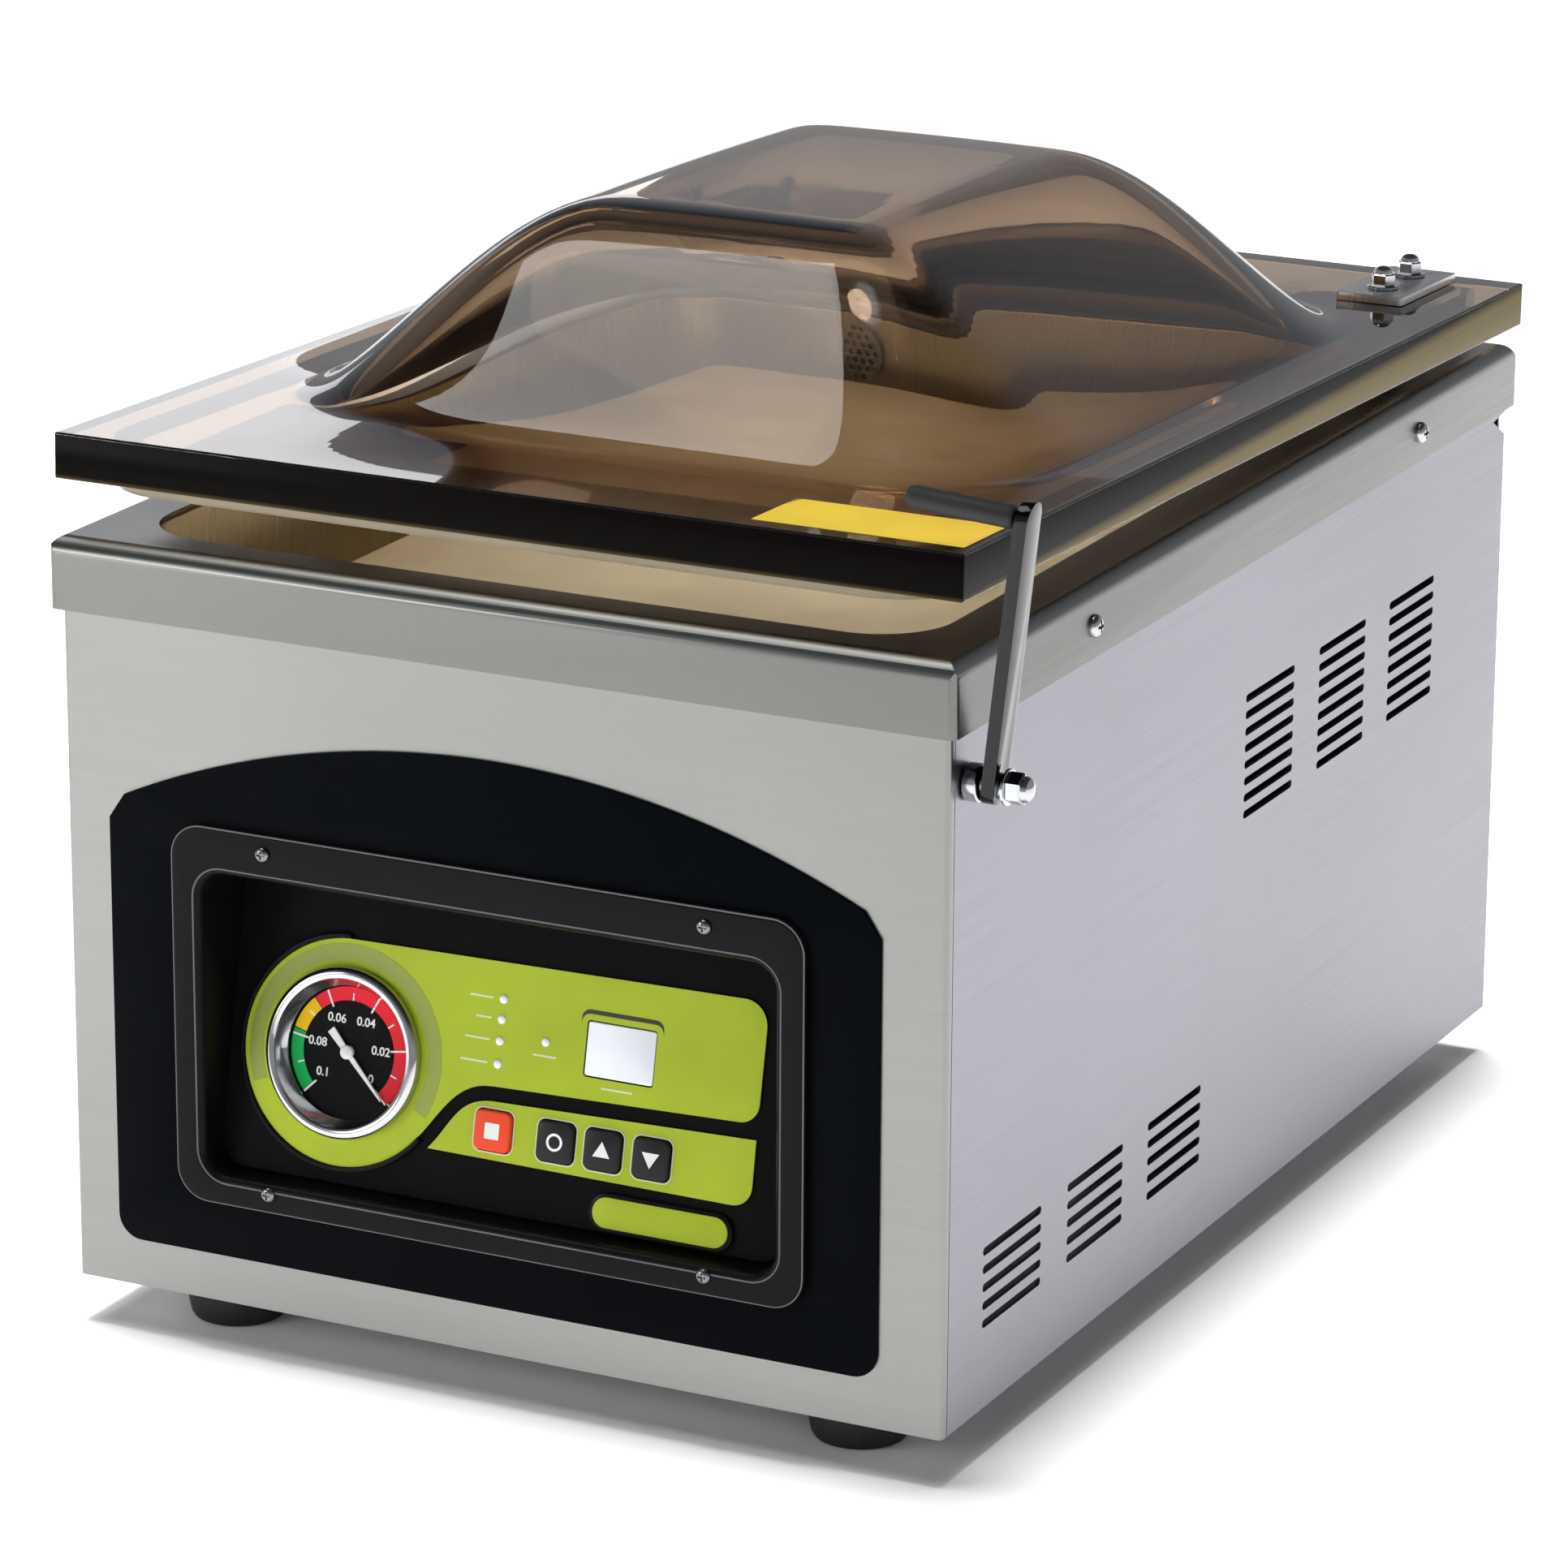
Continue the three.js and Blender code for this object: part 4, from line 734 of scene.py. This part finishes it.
def gauge_bezel():
    rim, bore, eye = GAUGE["bezel"], GAUGE["bore"], GAUGE["eye"]
    can = [(bore, -1.6), (bore, -3), (22, -3), (22, -22), (1, -22), (1, -24), (27, -24), (27, 1.2)]
    ring = [(rim, 1.2), (rim, 3.6), (rim - 0.4, 4.3), (rim - 1.1, 4.9), (rim - 2.0, 5.2), (bore + 1.4, 5.2),
            (bore + 0.4, 4.7), (bore, 3.9)]
    funnel = [(eye + 0.5, 0.9), (eye, 0.2), (eye, -1.5)]
    profile = can + ring + funnel
    add("gauge_bezel", lathe(profile, 96, closed=True), GAUGE_FRAME, M["chrome"], stands_for=["gauge_case"])


def gauge_dial():
    """The dial with its coloured bands, a tick every 27 degrees and numbers at every other one."""
    card, print_top = -1.7, -1.6
    face = lathe([(GAUGE["bore"] - 0.3, card - 1), (GAUGE["bore"] - 0.3, card)], 64)
    add("gauge_face", face, GAUGE_FRAME, M["dial_black"], stands_for=["gauge_dial"])
    for name, start, end in (("green", 225, 166), ("yellow", 165, 132), ("red", 131, -45)):
        add(f"dial_band_{name}", prism(sector(18.0, 22.8, start, end, 32), card, print_top), GAUGE_FRAME,
            M[f"dial_{name}"])
    marks = []
    for i in range(11):
        inner, outer, half = (18.0, 20.6, 0.25) if i % 2 else (16.6, 22.8, 0.32)
        tick = block(inner, outer, -half, half, card, -1.55)
        marks.append(place_in(tick, turn(225 - 27 * i, "Z")))
    for text, angle in (("0.1", 222), ("0.08", 171), ("0.06", 117), ("0.04", 63), ("0.02", 9), ("0", -41)):
        a = math.radians(angle)
        marks.append(lettering(text, 4.3, 12.7 * math.cos(a), 12.5 * math.sin(a), -1.62))
    add("dial_marks", merge(*marks), GAUGE_FRAME, M["white_print"])


def gauge_lens():
    bore = GAUGE["bore"]
    profile = [(bore - 1.0, 3.2), (bore - 0.5, 3.9), (bore * 0.8, 4.2), (bore * 0.5, 4.35), (bore * 0.1, 4.4)]
    add("gauge_window", lathe(profile, 64), GAUGE_FRAME, M["glass"], stands_for=["gauge_lens"])


def gauge_needle():
    hand = prism([(0, -1), (21, -0.35), (21, 0.35), (0, 1), (-10, 1.5), (-10, -1.5)], -0.9, -0.2)
    hub = lathe([(2.4, -1.2), (2.4, 0.3), (1.6, 0.8), (0.3, 0.9)], 24)
    add("needle_hand", combine(hand, hub, "UNION"), GAUGE_FRAME @ turn(-45, "Z"),
        M["white_print"], body="gauge_needle", stands_for=["gauge_needle"])


# ---- lid ----
def reach(from_foot, run):
    """How far out a point is along one axis: 0 on the crown, 1 at the dome's foot."""
    return 1 - min(max(from_foot / run, 0.0), 1.0)


def blown_height(x, y):
    """How far the dome would stand above the flat sheet if its bends were sharp."""
    dx, dy, wall = x - DOME["x"], y - DOME["y"], DOME_WALL
    side = reach(DOME["half_w"] - abs(dx), wall["side_run"])
    end = reach(DOME["half_d"] - abs(dy), wall["front_run"] if dy < 0 else wall["rear_run"])
    up = max(1 - (side ** wall["plan"] + end ** wall["plan"]) ** (1 / wall["plan"]), 0.0)
    sag = DOME["sag"] * ((dx / DOME["half_w"]) ** 2 + (dy / DOME["half_d"]) ** 2)
    return DOME["rise"] * (up * up * (3 - 2 * up)) ** wall["steepness"] * (1 - sag)


def dome_height(x, y, ease=8.0):
    """The blown height, averaged over a few millimetres as softened acrylic does."""
    taps = ((-ease, 1), (-ease / 2, 2), (0.0, 3), (ease / 2, 2), (ease, 1))
    total = sum(wx * wy * blown_height(x + dx, y + dy) for dx, wx in taps for dy, wy in taps)
    return total / sum(w for _, w in taps) ** 2


def crowded(centre, half, low, high, count):
    """Stations along one axis of the lid, closest at the dome's foot."""
    inner = [centre - half * math.cos(math.pi * i / count) for i in range(count + 1)]
    return [low, low + 0.9] + inner + [high - 0.9, high]


def grid_border(columns, rows):
    """The outermost points of a grid, as (row, column), in order round it."""
    return ([(0, i) for i in range(columns)] + [(j, columns - 1) for j in range(1, rows)]
            + [(rows - 1, i) for i in range(columns - 2, -1, -1)] + [(j, 0) for j in range(rows - 2, 0, -1)])


def blown_sheet():
    """The flat sheet with its dome, as one solid; the wall is thinner on the crown."""
    xs = crowded(DOME["x"], DOME["half_w"], -LID["half_w"], LID["half_w"], 84)
    ys = crowded(DOME["y"], DOME["half_d"], LID["front"], LID["rear"], 96)
    under = (DOME["rise"] + LID["thick"] - DOME["crown"]) / DOME["rise"]
    bm = bmesh.new()
    low = [[bm.verts.new((x, y, dome_height(x, y) * under)) for x in xs] for y in ys]
    top = [[bm.verts.new((x, y, dome_height(x, y) + LID["thick"])) for x in xs] for y in ys]
    for j in range(len(ys) - 1):
        for i in range(len(xs) - 1):
            bm.faces.new((top[j][i], top[j][i + 1], top[j + 1][i + 1], top[j + 1][i]))
            bm.faces.new((low[j][i], low[j + 1][i], low[j + 1][i + 1], low[j][i + 1]))
    border = grid_border(len(xs), len(ys))
    for (j, i), (q, p) in zip(border, border[1:] + border[:1]):
        bm.faces.new((low[j][i], low[q][p], top[q][p], top[j][i]))
    return soften(bm, 0.7, 2)


def lid_shell():
    bores = [shift(lathe([(BOLTS["bore"], -5), (BOLTS["bore"], LID["thick"] + 5)], 24), x, BOLTS[end])
             for x in (-HINGE["x"], HINGE["x"]) for end in ("front", "rear")]
    lid = add("domed_lid", combine(blown_sheet(), merge(*bores)), LID_FRAME, M["acrylic"], body="lid",
              stands_for=["lid_shell"], angle=30)
    # The edge faces take the edge material, whose lower part is a painted amber glow.
    lid.data.materials.append(M["edge"])
    low, high = Vector(lid.bound_box[0]), Vector(lid.bound_box[6])
    flush, front_bow = 0.05 * MM, 1.0 * MM
    for face in lid.data.polygons:
        x, y = face.center.x, face.center.y
        at_edge = min(x - low.x, high.x - x, high.y - y) < flush or y - low.y < front_bow
        if at_edge and abs(face.normal.z) < 0.4:
            face.material_index = 1


def ring_sweep(section, steps=12):
    """A ring that follows the lid seal: section is a list of (inward offset, z)."""
    half, front, rear, corner = LID_SEAL.values()
    rings = [[(x, y, z) for x, y in rounded(g - half, half - g, front + g, rear - g, corner - g, steps)]
             for g, z in section]
    return loft(rings, closed=True)


def lid_fittings():
    seal = [(0, -GAP), (0, -2.4), (1.0, -3.6), (2.6, -4.0), (5.9, -4.0), (7.5, -3.6), (8.5, -2.4),
            (8.5, -GAP)]
    add("lid_seal", ring_sweep(seal), LID_FRAME, M["silicone"], body="lid", stands_for=["lid_gasket"])
    half, front, rear = SEAL_BAR["half_w"], PRESSURE_BAR["front"], PRESSURE_BAR["rear"]
    bar = soften(block(-half, half, front, rear, -PRESSURE_BAR["drop"], -GAP), 1.2, 2)
    add("pressure_bar_rubber", bar, LID_FRAME, M["silicone"], body="lid", stands_for=["lid_pressure_bar"])


def lid_sticker():
    """A plain yellow label whose right end is printed a shade darker."""
    x, y, width, depth, end_x, end_width = STICKER.values()
    top = LID["thick"]
    label = prism(centred(x, y, width, depth, 0.6, 2), top + 0.05, top + 0.2)
    add("lid_sticker", label, LID_FRAME, M["sticker"], body="lid")
    end = prism(centred(end_x, y, end_width, depth - 4, 0.6, 2), top + 0.2, top + 0.25)
    add("lid_sticker_end", end, LID_FRAME, M["amber"], body="lid")


def cap_nut(across, height):
    """A hexagonal nut with a domed cap."""
    flat = across / 2
    hexagon = lathe([(flat - 0.3, 0), (flat, 0.4), (flat, height * 0.55), (flat - 0.5, height * 0.62)], 6)
    steps = ((0.40, 0.5), (0.40, 0.66), (0.34, 0.84), (0.2, 0.96), (0.03, 1))
    cap = lathe([(across * out, height * up) for out, up in steps], 28)
    return combine(hexagon, cap, "UNION")


def hinge_plate(side, x):
    low = LID["thick"] + GAP
    top = low + HINGE["thick"]
    outline = rounded(x - HINGE["half_w"], x + HINGE["half_w"], HINGE["front"], HINGE["rear"], 1.5, 4)
    holes = [circle(BOLTS["bore"], 20, x, BOLTS[end]) for end in ("front", "rear")]
    add(f"{side}_hinge_plate", soften(plate([outline] + holes, low, top), 0.5, 2, height=top), LID_FRAME,
        M["plain_steel"], body="lid", stands_for=[f"hinge_plate_{side}"])


def lid_bolt(side, end, x):
    """A washer and a cap nut on a shank through the lid."""
    seat = LID["thick"] + HINGE["thick"] + 2 * GAP
    washer = lathe([(6, seat), (6, seat + 0.7), (5.6, seat + 1), (1, seat + 1)], 36)
    shank = lathe([(2.4, -2.9), (2.4, seat + 0.5)], 20)
    nut = shift(cap_nut(9.4, 7.3), 0, 0, seat + 1.02)
    add(f"{side}_{end}_lid_bolt", merge(washer, shank, nut), LID_FRAME @ at(x, BOLTS[end], 0),
        M["chrome"], body="lid", stands_for=[f"lid_bolt_{side}_{end}"], angle=28)


def hinges():
    for side, x in (("left", -HINGE["x"]), ("right", HINGE["x"])):
        hinge_plate(side, x)
        for end in ("front", "rear"):
            lid_bolt(side, end, x)


# ---- lever ----
def lever():
    half, w, length = LEVER["thick"] / 2, LEVER["half_w"], LEVER["reach"]
    outline = arc(0, 0, w + 0.4, 180, 360, 20) + arc(0, length, w, 0, 180, 20)
    bar = place_in(soften(plate([outline, circle(4.3, 28)], -half, half), 0.9, 3, least=60), SIDEWAYS)
    lean = Matrix.Identity(4)
    lean[0][2] = math.tan(math.radians(LEVER["lean"]))
    place_in(bar, lean)
    handle = at(length * lean[0][2] - half - 0.4, 0, length) @ turn(GRIP["tilt"] - 90, "Y")
    tang = place_in(lathe([(2.2, -1), (2.2, 36)], 24), handle)
    # The bar's chrome is darkened as painted dark reflection.
    add("lever_bar", combine(bar, tang, "UNION"), LEVER_FRAME, M["chrome_painted_dark"], body="lever",
        stands_for=["lever_arm"], angle=32)
    end, radius = GRIP["length"], GRIP["radius"]
    profile = [(2.5, end - 2.5), (2.5, 1.2), (3.3, 1.2), (3.8, 1.8), (radius, 3), (radius, end - 3),
               (3.7, end - 1.4), (3.0, end - 0.3), (2.0, end), (0.4, end), (0.4, end - 2.5)]
    add("lever_grip_sleeve", lathe(profile, 36, closed=True), LEVER_FRAME @ handle, M["rubber"], body="lever",
        stands_for=["lever_grip"])


def lever_mounting():
    half = LEVER["thick"] / 2
    place = LEVER_STUD @ turn(90, "Y")
    wall = BODY["half_w"] + GAP - LEVER["x"]
    stud = lathe([(5.6, wall), (6.5, wall + 0.6), (6.5, -half - 2.2), (5.9, -half - 1.6), (4.6, -half - 1.2),
                  (4, -half - 1.2), (4, half + 1.9), (0.5, half + 1.9)], 40)
    add("lever_stud_collar", stud, place, M["chrome"], stands_for=["lever_stud"])
    washer = lathe([(6.2, half + 2.2), (6.2, half + 3.0), (5.8, half + 3.2), (1, half + 3.2)], 36)
    nut = shift(cap_nut(11.2, 8.5), 0, 0, half + 3.25)
    add("lever_cap_nut", merge(washer, nut), place, M["chrome"], stands_for=["lever_nut"],
        angle=28)


# ---- inside the chamber ----
def filler():
    half, low = FILLER["half_w"], CHAMBER["floor"] + GAP
    top = low + FILLER["thick"]
    outline = rounded(-half, half, FILLER["front"], FILLER["rear"], FILLER["corner"], 8)
    add("filler_slab", soften(prism(outline, low, top), 2.0, 3, height=top), CABINET, M["board"],
        stands_for=["filler_plate"], angle=40)


def seal_bar():
    """The bar on its two posts, with the tape along its top."""
    half, front, rear, low, top, tape_top = SEAL_BAR.values()
    bar = soften(block(-half, half, front, rear, low, top), 1.0, 2)
    posts = [shift(lathe([(4, 232), (4, 250.5)], 28), x, SEAL_CYLINDER["y"])
             for x in (-SEAL_CYLINDER["x"], SEAL_CYLINDER["x"])]
    add("seal_bar_body", merge(bar, *posts), CABINET, M["alloy"], body="seal_bar", stands_for=["seal_bar"])
    tape = block(1 - half, half - 1, front + 1.5, rear - 1.5, top + 0.05, tape_top)
    soften(tape, 0.5, 2, height=tape_top)
    add("seal_bar_tape", tape, CABINET, M["tape"], body="seal_bar")


def seal_cylinders():
    low, top = CHAMBER["floor"] + GAP, SEAL_CYLINDER["top"]
    profile = [(9, low), (9, top - 0.6), (8.4, top), (4.9, top), (4.3, top - 0.6), (4.3, low + 4),
               (1, low + 4), (1, low)]
    for side, x in (("left", -SEAL_CYLINDER["x"]), ("right", SEAL_CYLINDER["x"])):
        add(f"{side}_seal_cylinder", lathe(profile, 40, closed=True),
            CABINET @ at(x, SEAL_CYLINDER["y"], 0), M["chrome"], stands_for=[f"seal_cylinder_{side}"])


def port_screen():
    """The oval cover of the pump's port, with its staggered holes."""
    pitch, rows = PORT["pitch"], PORT["rows"]
    oval = [(PORT["half_w"] * x, PORT["half_h"] * y) for x, y in circle(1.0, 40)]
    centres = [(pitch * (i + 0.5 * (j % 2)), rows * j) for i in range(-2, 3) for j in range(-3, 4)]
    inside = [(x, y) for x, y in centres if math.hypot(x / 10, y / 13.6) < 1]
    holes = [circle(PORT["hole"], 12, x, y) for x, y in inside]
    cover = soften(plate([oval] + holes, 0, 3), 0.5, 2, height=3, least=60)
    add("port_screen", cover, upright(PORT["x"], CHAMBER["rear"] - GAP, PORT["z"]), M["alloy"],
        stands_for=["port_cover"])


# ---- CAD pieces that stay as they are ----
def dress_cad_nodes():
    looks = {
        "base_pan": "plain_steel", "hinge_leaf_left": "plain_steel", "hinge_leaf_right": "plain_steel",
        "hinge_bracket_left": "plain_steel", "hinge_bracket_right": "plain_steel", "control_board": "pcb",
        "pump_motor": "motor", "vacuum_pump": "alloy", "transformer": "core", "solenoid_valve": "alloy",
        "vacuum_hose": "hose", "power_inlet": "inlet", "power_switch": "black_key",
    }
    for node, look in looks.items():
        piece = frame["nodes"][node]
        piece.data.materials.clear()
        piece.data.materials.append(M[look])
        if node not in ("vacuum_hose", "control_board"):
            edge = piece.modifiers.new("edges", "BEVEL")
            edge.width, edge.segments = 0.5 * MM, 2
            edge.limit_method, edge.angle_limit = "ANGLE", math.radians(50)


# ---- floor, light and camera ----
def ground():
    floor = bmesh.new()
    bmesh.ops.create_grid(floor, x_segments=1, y_segments=1, size=12.0)
    mesh = bpy.data.meshes.new("floor")
    floor.to_mesh(mesh)
    floor.free()
    s = Shader("floor_white", (0.93, 0.93, 0.93), 0.85, Specular_IOR_Level=0.1)
    s.tint(s.spread(s.noise(3.0), 0, 1), (0.92, 0.92, 0.92), (0.94, 0.94, 0.94))
    mesh.materials.append(s.material)
    link("floor", mesh)


def surroundings():
    """A dim room, palest just above the horizon and dark overhead."""
    world = bpy.data.worlds.new("studio")
    bpy.context.scene.world = world
    world.use_nodes = True
    nodes, links = world.node_tree.nodes, world.node_tree.links
    coords, parts, ramp = (nodes.new(f"ShaderNode{kind}") for kind in ("TexCoord", "SeparateXYZ", "ValToRGB"))
    links.new(coords.outputs["Generated"], parts.inputs["Vector"])
    links.new(parts.outputs["Z"], ramp.inputs["Fac"])
    links.new(ramp.outputs["Color"], nodes["Background"].inputs["Color"])
    nodes["Background"].inputs["Strength"].default_value = 0.5
    stops = ramp.color_ramp.elements
    stops[0].color, stops[1].color = (0.7, 0.71, 0.74, 1), (0.12, 0.12, 0.125, 1)
    between = ((0.2, (0.85, 0.87, 0.92, 1)), (0.42, (0.5, 0.53, 0.61, 1)), (0.62, (0.1, 0.1, 0.11, 1)))
    for place, colour in between:
        stops.new(place).color = colour


def softbox(name, place, aim, size, energy, colour=(1, 1, 1), reflected=True):
    light = bpy.data.lights.new(name, "AREA")
    light.shape, light.size, light.size_y = "RECTANGLE", size[0], size[1]
    light.energy, light.color = energy, colour
    made = link(name, light)
    made.location = place
    made.visible_camera = False
    made.visible_glossy = reflected
    made.rotation_euler = (Vector(aim) - Vector(place)).to_track_quat("-Z", "Y").to_euler()


def lights():
    """Soft overhead light; the window shows in the lid's flat and the veil in the dome's front face."""
    softbox("key", (-0.2, 0.25, 2.3), (0.0, 0.0, 0.2), (1.8, 1.6), 20, reflected=False)
    softbox("sky", (0.0, 0.0, 2.6), (0.0, 0.01, 0.0), (2.6, 2.6), 11, reflected=False)
    softbox("window", (-1.5, 1.7, 0.8), (0.0, 0.0, 0.34), (0.9, 0.3), 1.5, (0.96, 0.97, 1.0))
    softbox("veil", (-0.9, -0.5, 2.45), (0.0, -0.15, 0.36), (1.6, 0.9), 18)
    softbox("front", (-0.7, -0.95, 0.36), (-0.17, -0.25, 0.15), (0.3, 0.3), 2.2)
    sun = bpy.data.lights.new("overhead", "SUN")
    sun.energy, sun.angle = 4.0, math.radians(14)
    made = link("overhead", sun)
    made.visible_glossy = False
    made.rotation_euler = Vector((0.05, -0.05, -1)).to_track_quat("-Z", "Y").to_euler()


def camera():
    azimuth, elevation, roll = (math.radians(a) for a in (26.4515, 17.1702, 0.308))
    distance, target = 2.5535, CABINET @ Vector((-15.93, 0, 151.88))
    back = Vector((math.sin(azimuth) * math.cos(elevation), -math.cos(azimuth) * math.cos(elevation),
                   math.sin(elevation)))
    right = Vector((math.cos(azimuth), math.sin(azimuth), 0))
    turned = math.cos(roll) * right + math.sin(roll) * back.cross(right)
    data = bpy.data.cameras.new("camera")
    data.lens, data.clip_start, data.clip_end = 158.36, 0.05, 60
    made = link("camera", data)
    basis = Matrix((turned, back.cross(turned), back)).transposed().to_4x4()
    made.matrix_world = Matrix.Translation(target + back * distance) @ basis
    bpy.context.scene.camera = made
    bpy.context.scene.view_settings.view_transform = "Standard"


CABINET_PIECES = (deck_rim, chamber_tub, side_panels, front_panel, rear_panel, rim_screws, feet)
PANEL_PIECES = (trim_plate, panel_frame, frame_painted_highlights, panel_screws, control_face, films, film_prints, display,
                lamps, badge, keys, gauge_bezel, gauge_dial, gauge_lens, gauge_needle)
LID_PIECES = (lid_shell, lid_fittings, lid_sticker, hinges, lever, lever_mounting)
CHAMBER_PIECES = (filler, seal_bar, seal_cylinders, port_screen)
for build in (camera, ground, surroundings, lights, *CABINET_PIECES, *PANEL_PIECES, *LID_PIECES,
              *CHAMBER_PIECES, dress_cad_nodes):
    build()
